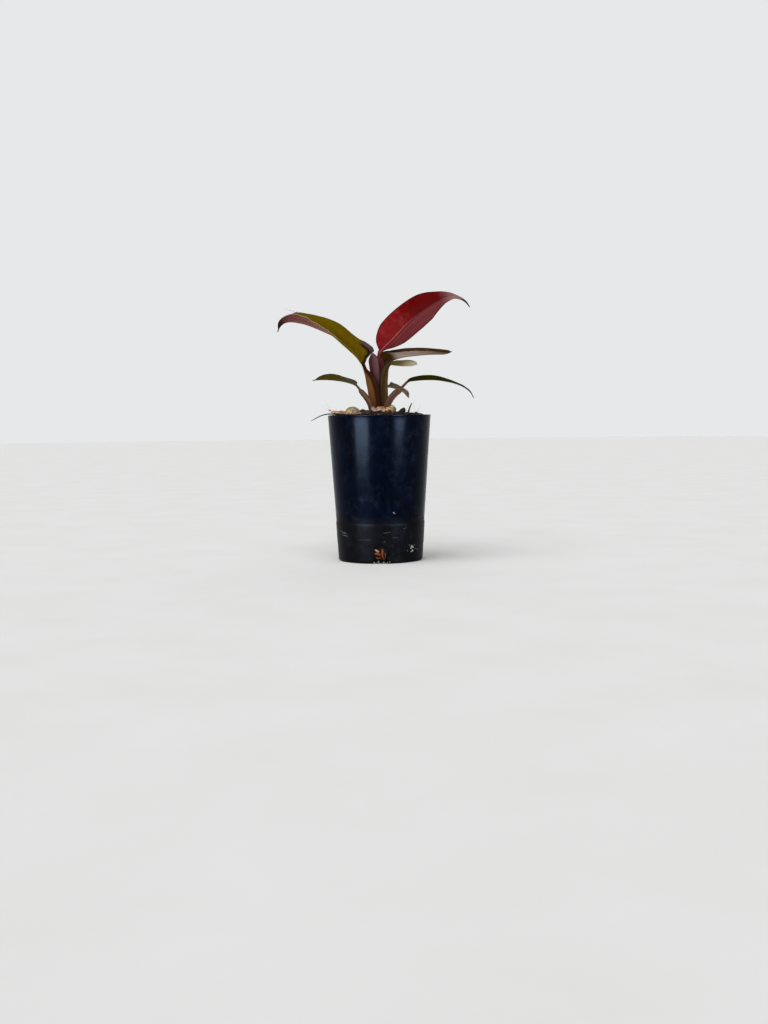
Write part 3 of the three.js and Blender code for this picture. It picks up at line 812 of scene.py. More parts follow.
def lay(tree, under, over, amount, *ramps):
    """Lays one tone over another as far as each ramp of (value, none, full) lets it."""
    for value, none, full in ramps:
        ramp = add(tree, "ShaderNodeMapRange", {
            "Value": value, "From Min": none, "From Max": full,
        }, interpolation_type="SMOOTHSTEP")
        amount = add(tree, "ShaderNodeMath", {0: ramp, 1: amount},
                     operation="MULTIPLY")
    under, over = (linear(c) if isinstance(c, int) else c for c in (under, over))
    return add(tree, "ShaderNodeMix", {0: amount, 6: under, 7: over},
               data_type="RGBA").outputs[2]


print("A vein's line spans this share of the gap between two:", 2 * VEIN_LINE[0])

# %% [markdown]
# A philodendron leaf is living tissue under a waxy skin, IOR about 1.45, a satin gloss and no
# metal. Young leaves of this plant open red and turn bronze, then olive and green, and each
# face and half has its own tone. On some leaves a tone also holds painted sheen, highlight,
# rim light or shade, as each leaf says. Blotches of 5 to 8 mm break up the tone, and a fine grain
# of 0.7 mm stands for the cells, coarser than they are so that it shows. The gloss level is far
# below that of real wax, because the panels that it mirrors are far brighter than a window.

# %% Leaf finish
LEAF_GLOSS = 0.004
PLAIN_LEAF = dict(
    far=(0.35, 0.8), mottle_range=(0.5, 0.68), mottle_from=(-2, -1.5), mottle_until=(3, 2),
    rib_width=(0.5, 0.2), rib_whole=0.3, edge_from=(-1, -0.9), tip_full=1.0,
    stalk_split=(-0.5, 0.5), stripe_share=0.75, sheath_margin=0x2E1A16, foot=0x4A2E22,
    foot_until=-0.55)


def blade_tone(tree, tones, at, vein, mottle, blotch):
    """The blade's colour: halves and faces first, then its marks from blotches to the tip."""
    half = (at.reach, -0.03, 0.03)
    faces = []
    for face in ("lower", "upper"):
        near = lay(tree, tones[face + "_left"], tones[face + "_right"], 1, half)
        far_left = tones["far_" + face]
        far = lay(tree, far_left, tones.get("far_" + face + "_right", far_left), 1, half)
        skin = lay(tree, near, far, 1, (at.along, *tones["far"]))
        if "late_" + face in tones:
            skin = lay(tree, skin, tones["late_" + face], 1, (at.along, 0.25, 0.9))
        faces.append(skin)
    blade = lay(tree, *faces, 1, (at.face, -0.3, 0.3))
    blotches = add(tree, "ShaderNodeTexNoise", {
        "Vector": at.where, "Scale": per_mm(blotch), "Detail": 4, "Roughness": 0.6,
    })
    blade = lay(tree, blade, tones["mottle"], mottle, (blotches, *tones["mottle_range"]),
                (at.reach, *tones["mottle_from"]), (at.along, *tones["mottle_until"]))
    if "streak" in tones:
        blade = lay(tree, blade, tones["streak"], tones["streak_share"], (at.stripes, 0.36, 0.7),
                    (at.reach, *tones["streak_side"]), (at.along, *tones["streak_from"]))
    blade = lay(tree, blade, tones["vein"], vein, (at.between, *VEIN_LINE), (at.inset, 0.4, 2.5))
    blade = lay(tree, blade, tones["rib"], 0.8, (at.off_rib, *tones["rib_width"]),
                (at.along, tones["rib_until"], tones["rib_until"] * tones["rib_whole"]))
    # The left margin may have its own tone. On the olive leaf that cream line is a painted rim
    # light.
    margin = lay(tree, tones.get("margin_left", tones["margin"]), tones["margin"], 1, half)
    blade = lay(tree, blade, margin, 0.85, (at.inset, 0.95, 0.15),
                (at.along, *tones["edge_from"]))
    if "lobe" in tones:
        lobe, crease, reach_from, until = tones["lobe"]
        base = (at.along, until, until * 0.6)
        # crease is a dark band inside the base lobe: painted shade in the lobe's curl.
        blade = lay(tree, blade, crease, 1, (at.reach, reach_from - 0.22, reach_from), base)
        blade = lay(tree, blade, lobe, 1, (at.reach, reach_from, reach_from + 0.1), base)
    blade = lay(tree, blade, tones["tip"], 1, (at.along, tones["tip_from"], tones["tip_full"]))
    if "end" in tones:
        blade = lay(tree, blade, tones["end"], 1, (at.along, 0.88, 0.93))
    return blade


def stalk_tone(tree, tones, at):
    """The colour of stalk and sheath: two sides, stripes, the sheath's rim and a dark foot."""
    stalk = lay(tree, tones["stalk_left"], tones["stalk_right"], 1,
                (at.reach, *tones["stalk_split"]))
    stalk = lay(tree, stalk, tones["stripe"], tones["stripe_share"], (at.stripes, 0.45, 0.7))
    stalk = lay(tree, stalk, tones["sheath_margin"], 0.7, (at.inset, 0.5, 0.1))
    return lay(tree, stalk, tones["foot"], 0.8, (at.along, tones["foot_until"], -1))


def leaf_finish(name, tones, vein=0.3, mottle=0.5, rough=0.34, tint=0xFFFFFF, blotch=5):
    """tones names a colour for each half, face and mark, or where a mark lies; vein and mottle
    are how strongly those show, and blotch is the size of the mottle in mm."""
    made, tree, shader, where = new_material(name)
    tones = {**PLAIN_LEAF, **tones}
    at = leaf_places(tree, where)
    blade = blade_tone(tree, tones, at, vein, mottle, blotch)
    tone = lay(tree, stalk_tone(tree, tones, at), blade, 1, (at.along, -0.06, 0.01))
    cells = add(tree, "ShaderNodeTexNoise", {"Vector": at.where, "Scale": per_mm(0.7), "Detail": 2})
    sheen = add(tree, "ShaderNodeMapRange", {
        "Value": cells, "From Min": 0.2, "From Max": 0.8,
        "To Min": rough - 0.05, "To Max": rough + 0.08,
    })
    duller_below = add(tree, "ShaderNodeMapRange", {
        "Value": at.face, "From Min": -0.3, "From Max": 0.3, "To Min": 0.2, "To Max": 0,
    })
    roughness = add(tree, "ShaderNodeMath", {0: sheen, 1: duller_below}, operation="ADD")
    relief = add(tree, "ShaderNodeBump", {"Height": cells, "Strength": 0.35, "Distance": 0.06 * MM})
    vein_line = add(tree, "ShaderNodeMapRange", {
        "Value": at.between, "From Min": VEIN_LINE[0], "From Max": VEIN_LINE[1],
    })
    ridge = add(tree, "ShaderNodeBump", {
        "Height": vein_line, "Strength": 0.12, "Distance": 0.08 * MM,
        "Normal": relief,
    })
    feed(tree, shader, {
        "Base Color": tone, "Roughness": roughness, "Normal": ridge,
        "IOR": 1.45, "Specular IOR Level": LEAF_GLOSS, "Specular Tint": linear(tint),
    })
    return made


print("Leaf gloss level:", LEAF_GLOSS)

# %% [markdown]
# The red leaf is the youngest and stands highest. Its upper left half is a deep glossy red with
# lighter blotches. Its lower right half is a duller purple red whose greyed tone and grey-pink
# streaks are a painted sheen, a reflection of a bright room at a glancing angle. Where the tip
# curls over it turns grey-pink, a painted highlight, before its dark end. A pale pink midrib shows
# from its base to about the middle.

# %% Red leaf
LEAF_RED = dict(
    bearing=16, stalk=[(0.8, 1.5, 113.5), (0.8, 1.7, 128), (1.0, 1.3, 146), (1.1, 1.1, 158),
                        (2.1, 0.8, 161.4)],
    rib=[(5.4, 1.9, 165.1), (10.5, 3.8, 170), (16.7, 6.2, 176.7), (25.4, 8.9, 185.3),
         (35.6, 11.8, 193.4), (45.1, 14.3, 199.4), (52.2, 15.8, 202.9), (58.5, 17.1, 204),
         (64, 17.8, 202.5), (68.5, 18.5, 199.7), (71.8, 19, 195.6)],
    outline=[(0, 2, 1.6), (0.03, 8.1, 2.8), (0.07, 11.1, 5.3), (0.12, 13.5, 7.5),
             (0.2, 14.6, 10.3), (0.3, 14.6, 11.6), (0.4, 13.9, 12.3), (0.5, 13, 11.6),
             (0.6, 11, 8.9), (0.7, 7.1, 5.9), (0.78, 3.6, 4.3), (0.86, 1.2, 1.8),
             (0.93, 0.7, 0.7), (1, 0.3, 0.3)],
    half=13.9, shoulder=(0.2, 0), roll=[(-1, -62), (0, -64), (0.6, -62), (1, -74)],
    folds=[(0, 26, 12), (0.6, 26, 12), (1, 24, 24)], sheath=(4.2, 2.4, 0.92), thick=4.2,
    wave=0.3, quilt=0.016, vein_gap=3.4, columns=45, stalk_rings=44, blade_rings=160)
# Painted sheen: upper_right and far_upper_right on the right half, and its streak. Painted
# highlight: tip.
red_tones = dict(
    upper_left=0x8E181C, upper_right=0x662224, lower_left=0x6E222A, lower_right=0x6A262C,
    far_upper=0x6A0002, far_upper_right=0x6A2C2E, far_lower=0x6A2C32, far=(0.2, 0.5),
    mottle=0xA4363A, mottle_from=(0.05, -0.05), mottle_until=(0.58, 0.24),
    mottle_range=(0.44, 0.66), streak=0x84484C, streak_share=0.5, streak_side=(0.04, 0.2),
    streak_from=(0.05, 0.15), vein=0x8A1418, rib=0xC8666C, rib_until=0.5,
    rib_width=(0.7, 0.3), rib_whole=0.3, margin=0x34060A, tip=0x96706F, tip_from=0.68,
    tip_full=0.84, end=0x3E2C2E, stalk_left=0x763A38, stalk_right=0x6C3230, stripe=0x70403E,
    foot_until=-0.3)
red_finish = leaf_finish("living red leaf", red_tones, vein=0.05, mottle=0.6, rough=0.32,
                         tint=0xFFC8CA, blotch=7)
leaf_piece("leaf_red", LEAF_RED, red_finish, "leaf_red_young")

# %% [markdown]
# The cataphyll is the scale that wrapped the last leaf before it opened. It stands in front of
# the red leaf's stalk as a bladeless sheath, purple grey with a dark rim.

# %% Cataphyll
CATAPHYLL = dict(
    bearing=258, stalk=[(-0.6, -1.2, 113.5), (-1.0, -2.0, 130), (-2.9, -2.9, 146),
                        (-4.5, -2.9, 159.4)],
    rib=[], roll=[(-1, 0)], sheath=(4.1, 2.4, 2), thick=1.0, half=4.1, waist=0.62, vein_gap=3,
    columns=33, stalk_rings=70)
cataphyll_tones = dict(
    upper_left=0x6C4648, upper_right=0x4A2C2C, lower_left=0x6C4648, lower_right=0x4A2C2C,
    far_upper=0x6C4648, far_lower=0x6C4648, mottle=0x7C5A5C, vein=0x7C5A5C, rib=0x6C4648,
    rib_until=0.1, margin=0x2A1416, tip=0x2A1416, tip_from=0.95,
    stalk_left=0x76525A, stalk_right=0x4C2426, stripe=0x5C3236, stripe_share=0.5,
    sheath_margin=0x3A1C1E, foot_until=-0.1, foot=0x2A100C)
cataphyll_finish = leaf_finish("dry purple sheath tissue", cataphyll_tones, rough=0.42)
leaf_piece("sheath_cataphyll", CATAPHYLL, cataphyll_finish, "cataphyll")

# %% [markdown]
# The bronze leaf reaches to the right, nearly level, so the viewer sees the grey-pink underside
# of its near half and a thin dark line of the far half above it. That pale grey-pink is partly the
# underside's own tone and partly a painted highlight of light bounced up from below. The dark
# brown of the far half's upper face is partly its bronze and partly painted shade.

# %% Bronze leaf
LEAF_BRONZE = dict(
    bearing=-17, stalk=[(3.4, -2.2, 113.5), (3.2, -2.8, 128), (3.4, -2.6, 140), (5.0, -2.2, 149),
                        (8.6, -1.5, 153.6)],
    rib=[(12.6, -2.1, 155.3), (18.7, -3.9, 156.7), (26.2, -6.7, 157.3), (32.1, -8.2, 157.6),
         (38, -9.6, 157.7), (43.9, -10.9, 157.6), (49.7, -12.6, 157.4), (53.1, -13.5, 158.1),
         (55.6, -14, 159.4)],
    outline=[(0, 12.5, 8), (0.04, 14.7, 10.2), (0.1, 12, 8), (0.2, 10, 6.2), (0.3, 9.9, 5.8),
             (0.4, 9.6, 5.3), (0.5, 8.6, 5.3), (0.6, 8.1, 5), (0.7, 7.8, 4.1), (0.8, 7, 3.4),
             (0.88, 6.1, 3), (0.95, 4.5, 2.1), (1, 0.6, 0.6)],
    half=8.6, shoulder=(8.5, 4.6),
    roll=[(-1, 44), (-0.4, 30), (0, 0)], folds=[(0, 50, 44), (0.6, 46, 38), (1, 40, 40)],
    sheath=(4.1, 3, 1.08), thick=2.4, wave=0.2, quilt=0.04, vein_gap=3, columns=41,
    stalk_rings=44, blade_rings=120)
# far_lower holds the underside's own tone plus a painted highlight. The dark upper tones hold
# painted shade.
bronze_tones = dict(
    upper_left=0x2C1A0A, upper_right=0x2C1A0A, lower_left=0x4B2E10, lower_right=0x4B2E10,
    far_upper=0x34200F, far_lower=0xCCB6A6, late_lower=0x86705C, mottle=0x6A5444,
    mottle_until=(0.12, 0.24), mottle_from=(0.1, -0.05), vein=0x8A7464, rib=0x5A3A2A,
    rib_until=0.9, margin=0x3A2010, tip=0x4A423E, tip_from=0.94, far=(0.04, 0.17),
    stalk_left=0x786038, stalk_right=0x443220, stripe=0x7E6838, stripe_share=0.6,
    sheath_margin=0x1E120A, foot=0x4E2E22)
bronze_finish = leaf_finish("living bronze leaf", bronze_tones, vein=0.12, mottle=0.3, rough=0.36)
leaf_piece("leaf_bronze", LEAF_BRONZE, bronze_finish, "leaf_bronze_right")

# %% [markdown]
# The olive leaf arches far to the left. Its far half stands up and shows its olive upper face,
# its near half curls under and shows a brown-red underside towards the tip, and a cream line
# runs between the two along the near margin: a painted rim light. Inside the curled base lobe a
# dark crease is painted shade. Its sheath is the widest and wraps the front of the plant.

# %% Olive leaf
LEAF_OLIVE = dict(
    bearing=184, stalk=[(-2.2, -1.8, 113.5), (-3.3, -2.6, 128.5), (-5.6, -2.4, 138.5),
                        (-9.8, -1.6, 146.4), (-12.9, -0.8, 152.8)],
    rib=[(-16.6, -0.3, 157.7), (-21.9, 0, 162.5), (-28.8, 0, 168.5), (-34.9, 0, 173.5),
         (-41, 0, 176.3), (-47.9, 0, 179.2), (-54.7, 0, 181.7), (-61.6, 0, 183.3),
         (-67.8, 0, 183.9), (-72.4, 0, 182.8), (-75.5, 0, 180.1), (-77.6, 0, 176.3)],
    outline=[(0, 10.7, 2.5), (0.02, 11, 4.5), (0.035, 11.2, 9.5), (0.05, 11.4, 15.2),
             (0.07, 11.6, 15.6), (0.09, 11.7, 15), (0.12, 11.9, 14.4),
             (0.2, 12.2, 12.7), (0.3, 12.3, 12), (0.4, 12.4, 11.5), (0.5, 12, 11.7),
             (0.6, 10.8, 10.9), (0.7, 9.2, 9.4), (0.78, 8, 8.7), (0.86, 6, 3.7),
             (0.93, 3.6, 2.3), (1, 0.4, 0.4)],
    half=12.4, shoulder=(1, 2), roll=[(-1, -40), (-0.35, -30), (0, 0)],
    folds=[(0, -3, 74), (0.36, -2, 77), (0.5, 6, 78), (0.6, 18, 78), (0.7, 42, 77),
           (0.8, 60, 76), (1, 58, 62)],
    sheath=(6.9, 3.4, 0.96), flare=0.42, thick=2.7, wave=0.3, quilt=0.05, vein_gap=3.4,
    columns=45, stalk_rings=44, blade_rings=160)
olive_tones = dict(
    upper_left=0x6E5802, upper_right=0x6A5402, lower_left=0x7E6806, lower_right=0x4A3E08,
    far_upper=0x675602, far_lower=0xAA8470, late_lower=0x8C5254, mottle=0x806802,
    mottle_until=(0.62, 0.42), vein=0x786202, rib=0x705A04, rib_until=0.9, margin=0x30240C,
    # margin_left, the cream line on the near margin, is a painted rim light.
    margin_left=0xC0AC88, edge_from=(0.26, 0.36), tip=0x380C10, tip_from=0.82, tip_full=0.95,
    # In lobe, the second colour is the crease's painted shade.
    far=(0.3, 0.5), lobe=(0x5C4C4E, 0x24100A, 0.66, 0.17), stalk_left=0x34160E,
    stalk_right=0x8A5E34, stalk_split=(-0.66, -0.34), stripe=0x5E3A20, stripe_share=0.4,
    streak=0x4A201C, streak_share=0.55, streak_side=(-0.1, -0.3), streak_from=(0.34, 0.5),
    foot=0x42241A)
olive_finish = leaf_finish("living olive leaf", olive_tones, vein=0.08, mottle=0.4, rough=0.36,
                           tint=0xFFF4C0)
leaf_piece("leaf_olive", LEAF_OLIVE, olive_finish, "leaf_olive_left")

# %% [markdown]
# Four small leaves fill the plant: a pale one that points away behind the bronze leaf, a dark
# green one low at each side, and a small grey-green one that hangs behind. The pale one is a
# darker olive near its base: a painted shadow of the bronze leaf in front of it.

# %% Small leaves
LEAF_PALE = dict(
    bearing=58, stalk=[(3.6, 4.6, 113.5), (4.7, 6, 132), (5.8, 7.6, 144), (7.8, 10.2, 151)],
    rib=[(9.6, 12.5, 151.5), (12.7, 16.5, 151.3), (16.7, 22.2, 151), (20.8, 28.6, 150.9),
         (24.9, 35.6, 151), (27.4, 40.1, 151.4), (29.4, 43.5, 152.2), (30.3, 45, 153.3)],
    outline=[(0, 3, 3.4), (0.05, 4.4, 4.2), (0.1, 5, 5.5), (0.2, 6.1, 7), (0.3, 7.4, 8),
             (0.4, 8.2, 8.3), (0.5, 8.4, 8.6), (0.6, 8, 8.1), (0.7, 7, 6.8), (0.8, 5.6, 5.2),
             (0.88, 4, 3.6), (0.95, 2.2, 2), (1, 0.5, 0.5)],
    half=7.6, shoulder=(1.5, 1.5), roll=[(-1, 0)],
    folds=[(0, 34, 34), (1, 30, 30)], sheath=(2.6, 2.0, 0.5), thick=1.6, wave=0.2, quilt=0.05,
    vein_gap=2.6, columns=33, stalk_rings=36, blade_rings=80)
LEAF_LOW_RIGHT = dict(
    bearing=-8, stalk=[(4.8, -4.2, 113.5), (6.8, -4.5, 120.7), (11.2, -4.0, 127.2),
                       (16.2, -3.8, 131.4), (23.5, -3.2, 138.2)],
    rib=[(27.3, -3.6, 138.7), (35, -4.6, 139.1), (44, -5.8, 138.7), (49.9, -6.9, 137.7),
         (55.8, -7.9, 136.3), (61.7, -8.7, 134.2), (67, -9.5, 131.1), (70.2, -10, 127.9),
         (72.5, -10, 124.1)],
    outline=[(0, 2.3, 2.3), (0.04, 3.9, 3), (0.1, 5, 4.4), (0.2, 6.1, 6), (0.3, 7, 6.2),
             (0.4, 5.9, 5.2), (0.5, 3.9, 4.6), (0.6, 3.3, 3.7), (0.7, 3, 2.8), (0.8, 2.5, 2.5),
             (0.88, 2.2, 2.2), (0.95, 1.4, 1.4), (1, 0.3, 0.3)],
    half=6.6, shoulder=(1.4, 1.4),
    roll=[(-1, 60), (-0.4, 50), (0, 0)], folds=[(0, 36, 34), (0.7, 34, 32), (1, 34, 34)],
    sheath=(2.8, 1.6, 0.78), flare=0.12, thick=1.9, wave=0.2, quilt=0.05, vein_gap=2.6, columns=33,
    stalk_rings=40, blade_rings=110)
LEAF_LOW_LEFT = dict(
    bearing=187, stalk=[(-5.2, -2.2, 113.5), (-6.9, -2.5, 120.4), (-10.2, -2.7, 126),
                        (-13.8, -2.9, 130.4), (-18.2, -3, 135.6)],
    rib=[(-22.3, -3.6, 137.2), (-27.8, -4.3, 138.4), (-33.7, -5.2, 139.1),
         (-40.3, -5.9, 139.4), (-45.8, -6.5, 139.2), (-50.8, -7, 138.8)],
    outline=[(0, 3.7, 4), (0.04, 3.8, 4.4), (0.1, 3.9, 4.8), (0.2, 4.3, 5.7), (0.3, 5.3, 6.1),
             (0.4, 6.3, 7.2), (0.5, 6.8, 7.6), (0.6, 7.4, 7.8), (0.7, 7.2, 7.1), (0.8, 5.3, 5.2),
             (0.88, 3.2, 3.5), (0.95, 1.5, 2), (1, 0.4, 0.4)],
    half=5.6, shoulder=(0.6, 0.6),
    roll=[(-1, -60), (-0.4, -50), (0, 0)], folds=[(0, 44, 44), (1, 40, 40)],
    sheath=(2.4, 1.3, 0.84), flare=0.1, thick=1.7, wave=0.2, quilt=0.05, vein_gap=2.6, columns=33,
    stalk_rings=40, blade_rings=90)
LEAF_SMALL = dict(
    bearing=40, stalk=[(6.8, 4.4, 113.5), (6.4, 7, 124), (5.8, 10, 131), (6.6, 13, 134.1)],
    rib=[(9.2, 13.9, 133.7), (11.8, 15.8, 133.1), (13.8, 17.2, 132.5), (15.7, 18.5, 131.5),
         (18.1, 19.8, 130.5), (20.5, 21.1, 129.1), (22, 22.1, 127.7), (23.5, 23, 125.4)],
    outline=[(0, 4, 6.8), (0.05, 5, 7.1), (0.1, 5.4, 6.7), (0.2, 5.6, 6.4), (0.3, 5.2, 5.6),
             (0.4, 4.6, 4.9), (0.5, 4.4, 4.8), (0.6, 4, 4.6), (0.7, 3.6, 4.1), (0.8, 2.9, 3.3),
             (0.88, 2.2, 2.5), (0.95, 1.2, 1.4), (1, 0.4, 0.4)],
    half=4, shoulder=(0.8, 0.8), roll=[(-1, 0)],
    folds=[(0, 26, 26), (1, 22, 22)], sheath=(1.9, 1.2, 0.5), thick=1.0, wave=0.1, quilt=0.04,
    vein_gap=2.2, columns=29, stalk_rings=30, blade_rings=70)

# On both faces, the pale leaf's darker olive near the base is a painted shadow. Pale cream lies
# further out.
pale_tones = dict(
    upper_left=0x8A8048, upper_right=0x8A8048, lower_left=0x7A6E3E, lower_right=0x7A6E3E,
    far_upper=0xF4E4C0, far_lower=0xD8CCA8, mottle=0xA89E6A, vein=0xB8B082, rib=0xC4BC98,
    rib_until=0.8, margin=0x6E6040, tip=0xE0D4B4, tip_from=0.7, far=(0.2, 0.7),
    stalk_left=0x6E5A3C, stalk_right=0x5A4630, stripe=0x8A7650)
green_tones = dict(
    upper_left=0x2C2A01, upper_right=0x2C2A01, lower_left=0x343202, lower_right=0x343202,
    far_upper=0x303004, far_lower=0x42440E, mottle=0x40400A, vein=0x4C4C18, rib=0x5C5A28,
    rib_until=0.9, margin=0x2A2412, tip=0x5A4E3C, tip_from=0.88,
    stalk_left=0xA4846C, stalk_right=0x84604E, stripe=0x5A382C, stripe_share=0.7,
    sheath_margin=0x4A3028, foot=0x5A362A)
left_tones = dict(
    green_tones, upper_left=0x66664A, upper_right=0x66664A, lower_left=0x6A6A52,
    lower_right=0x6A6A52, far_upper=0x5A4D17, far_lower=0x5C5018, mottle=0x6A6230,
    tip=0x463C18, stalk_left=0x967660, stalk_right=0x7A5848, far=(0.1, 0.5))
grey_tones = dict(
    upper_left=0xC4BC9E, upper_right=0xC4BC9E, lower_left=0xB8AE92, lower_right=0xB8AE92,
    far_upper=0xD2C4B4, far_lower=0xD2C4B4, mottle=0xC8B8A6, vein=0xCABEAA, rib=0xB8A894,
    rib_until=0.8, margin=0x7A6854, tip=0xD8CCBC, tip_from=0.8,
    stalk_left=0x565240, stalk_right=0x464030, stripe=0x6E6A54)

for name, leaf, tones, slot, node, finish_name in [
    ("leaf_pale", LEAF_PALE, pale_tones, "pale_leaf", "leaf_pale_back", "living pale leaf"),
    ("leaf_low_right", LEAF_LOW_RIGHT, green_tones, "green_leaf", "leaf_green_low_right",
     "living dark green leaf"),
    ("leaf_low_left", LEAF_LOW_LEFT, left_tones, "green_leaf", "leaf_green_low_left",
     "living olive green leaf"),
    ("leaf_small", LEAF_SMALL, grey_tones, "grey_leaf", "leaf_small_back",
     "living grey green leaf"),
]:
    finish = leaf_finish(finish_name, tones, vein=0.2, mottle=0.3, rough=0.38)
    leaf_piece(name, leaf, finish, node)

# %% [markdown]
# The crown is the short swollen stem that all the stalks grow from, with four lumps at the front
# where roots and a bud swell. It starts from the CAD solid's own outline and is pushed in and
# out by noise of about 3 mm and 1 mm. Sculpting would do as well, but would not be repeatable.

# %% Stem crown
CROWN = dict(x=1.5, y=-0.6, radius=8.2, bottom=96, collar=115, top=118.4, middle=110)
CROWN_LUMPS = [((7.8, -5.6, 115.2), (4.4, 3.4, 3.0)), ((0.8, -6.2, 114.8), (3.8, 2.8, 3.9)),
               ((9.6, -3.6, 116.4), (3.6, 2.4, 2.9)), ((-4.6, -5.4, 114.6), (2.2, 2.0, 3.6))]


def lumpy(points, centre, sizes, seed, amounts):
    """Pushes points out and in from a centre by noise; sizes are pattern sizes in mm."""
    shifted = []
    for p in points:
        v = Vector(p)
        away = (v - Vector(centre)).normalized()
        push = sum(amount * noise.noise(v / size + Vector((seed, 2 * seed, 0)))
                   for size, amount in zip(sizes, amounts))
        shifted.append(v + away * push)
    return shifted


def ball(centre, size, rounds=24):
    """A stretched ball, turned like the pot: points and faces, in the same order on each run."""
    points, faces = turned(arc((0, 0), 1, -90, 90, rounds), 2 * rounds)
    return [Vector([a * b for a, b in zip(p, size)]) + Vector(centre) for p in points], faces


def crown_form():
    """The swollen stem and its lumps as one shape."""
    r, bottom, collar, top = (CROWN[key] for key in ("radius", "bottom", "collar", "top"))
    keys = [(0.02, bottom), (r * 0.45, bottom), (r * 0.8, bottom + 8), (r * 0.98, collar - 3),
            (r, collar), (r * 0.86, top - 1), (r * 0.55, top + 0.4), (0.02, top + 0.8)]
    fine, _ = curve_through([(a, 0, b) for a, b in keys], samples=7)
    outline = [(max(p[0], 0), p[2]) for p in fine]
    outline[0], outline[-1] = (0, outline[0][1]), (0, outline[-1][1])
    points, faces = turned(outline, 72)
    moved = [Vector(p) + Vector((CROWN["x"], CROWN["y"], 0)) for p in points]
    shape = Shape()
    shape.take(lumpy(moved, (CROWN["x"], CROWN["y"], CROWN["middle"]), (3.2, 1.1), 3, (0.6, 0.3)),
               faces)
    for i, (centre, size) in enumerate(CROWN_LUMPS):
        points, faces = ball(centre, size)
        shape.take(lumpy(points, centre, (2.6, 1.0), 5 + i, (0.7, 0.25)), faces)
    return shape


crown = crown_form()
print("Crown points:", len(crown.points))

# %% [markdown]
# The crown is dry stem tissue, copper and gold where old scales have come off, greyer at the left
# and greener at the right. Pale flecks of about 1.6 mm are what is left of the scales. Dark gaps in
# the same pattern lie where the relief is lowest: painted shade in its hollows. The skin is dry,
# so its gloss is low and the flecks stand out as a relief.

# %% Stem crown finish
def crown_finish():
    made, tree, shader, where = new_material("dry copper stem tissue")
    parts = add(tree, "ShaderNodeSeparateXYZ", {"Vector": where}).outputs
    across = add(tree, "ShaderNodeMapRange", {
        "Value": parts["X"], "From Min": -8 * MM, "From Max": 12 * MM,
    })
    tone = add(tree, "ShaderNodeValToRGB", {"Fac": across}, stops=[
        (0.0, 0x54463C), (0.22, 0x6A4E3A), (0.36, 0x8C562C), (0.6, 0x94602E),
        (0.74, 0xAA8444), (0.88, 0xA08848), (1.0, 0x6A6C3C),
    ])
    flecks = add(tree, "ShaderNodeTexNoise", {"Vector": where, "Scale": per_mm(1.6), "Detail": 5})
    fleck = add(tree, "ShaderNodeMapRange", {
        "Value": flecks, "From Min": 0.56, "From Max": 0.7, "To Max": 0.45,
    })
    pale = add(tree, "ShaderNodeMix", {0: fleck, 6: tone, 7: linear(0xC8A464)},
               data_type="RGBA")
    # The dark gaps are painted shade in the hollows of the relief, which the same noise raises.
    gaps = add(tree, "ShaderNodeMapRange", {
        "Value": flecks, "From Min": 0.36, "From Max": 0.46, "To Min": 0.9, "To Max": 0,
    })
    dark = add(tree, "ShaderNodeMix", {0: gaps, 6: pale.outputs[2], 7: linear(0x341C10)},
               data_type="RGBA")
    dress(tree, shader, dark.outputs[2], 0.5, 0.2, (flecks, 0.6, 0.4))
    feed(tree, shader, {"IOR": 1.45})
    return made


piece("crown_stem", crown.points, crown.faces, crown_finish(), ["stem_crown"])

# %% [markdown]
# The potting mix is chunky: composted bark, coir and a little perlite, watered often enough to
# look nearly black. Loose grains by the thousand would be slow, so a plug with a lumpy top
# carries a few hundred bark bits of 1 to 4 mm, each its own squashed nugget, with coir fibres
# between them. The largest ones stand where the CAD solid has them.

# %% Potting mix forms
MIX_EDGE, MIX_CREST, MIX_BITS = 110.4, 114.2, 26
CLEAR = 0.3
TOP_RINGS = 44


def draws(seed):
    """The same simple random draw that the solid was made with."""
    state = seed
    while True:
        state = (state * 1664525 + 1013904223) % 4294967296
        yield state / 4294967296


def mix_radius(height):
    """Radius of the mix: the inside of the wall, less the clearance."""
    proud = POT["proud"] if height < POT["step_height"] else 0
    return wall_radius(height) - POT["wall"] - CLEAR - proud


def mix_top(x, y):
    """Height of the mix at a place: a mound with gentle lumps."""
    reach = min(1, math.hypot(x, y) / mix_radius(MIX_EDGE))
    mound = MIX_EDGE + (MIX_CREST - MIX_EDGE) * (1 - reach ** 2.4)
    lumps = (0.55 * math.sin(0.42 * x + 1.1) * math.cos(0.37 * y)
             + 0.3 * math.sin(0.95 * x - 0.7 * y + 2))
    return mound + lumps * (1 - reach ** 6)


def on_mix(x, y, lift=0.0):
    """A place so far above the top of the mix."""
    return (x, y, mix_top(x, y) + lift)


def nugget(centre, size, turn, squash, seed, level=2):
    """A squashed, broken bit of bark: points and faces."""
    maker = bmesh.new()
    bmesh.ops.create_icosphere(maker, subdivisions=level, radius=1)
    rough = [1 + 0.34 * noise.noise(v.co * 1.3 + Vector((seed, 0, 0)))
             + 0.2 * noise.noise(v.co * 3.1 + Vector((0, seed, 0))) for v in maker.verts]
    local, faces = stretched(maker, squash)
    spin = spun(turn)
    return [spin @ (p * size * r) + Vector(centre) for p, r in zip(local, rough)], faces


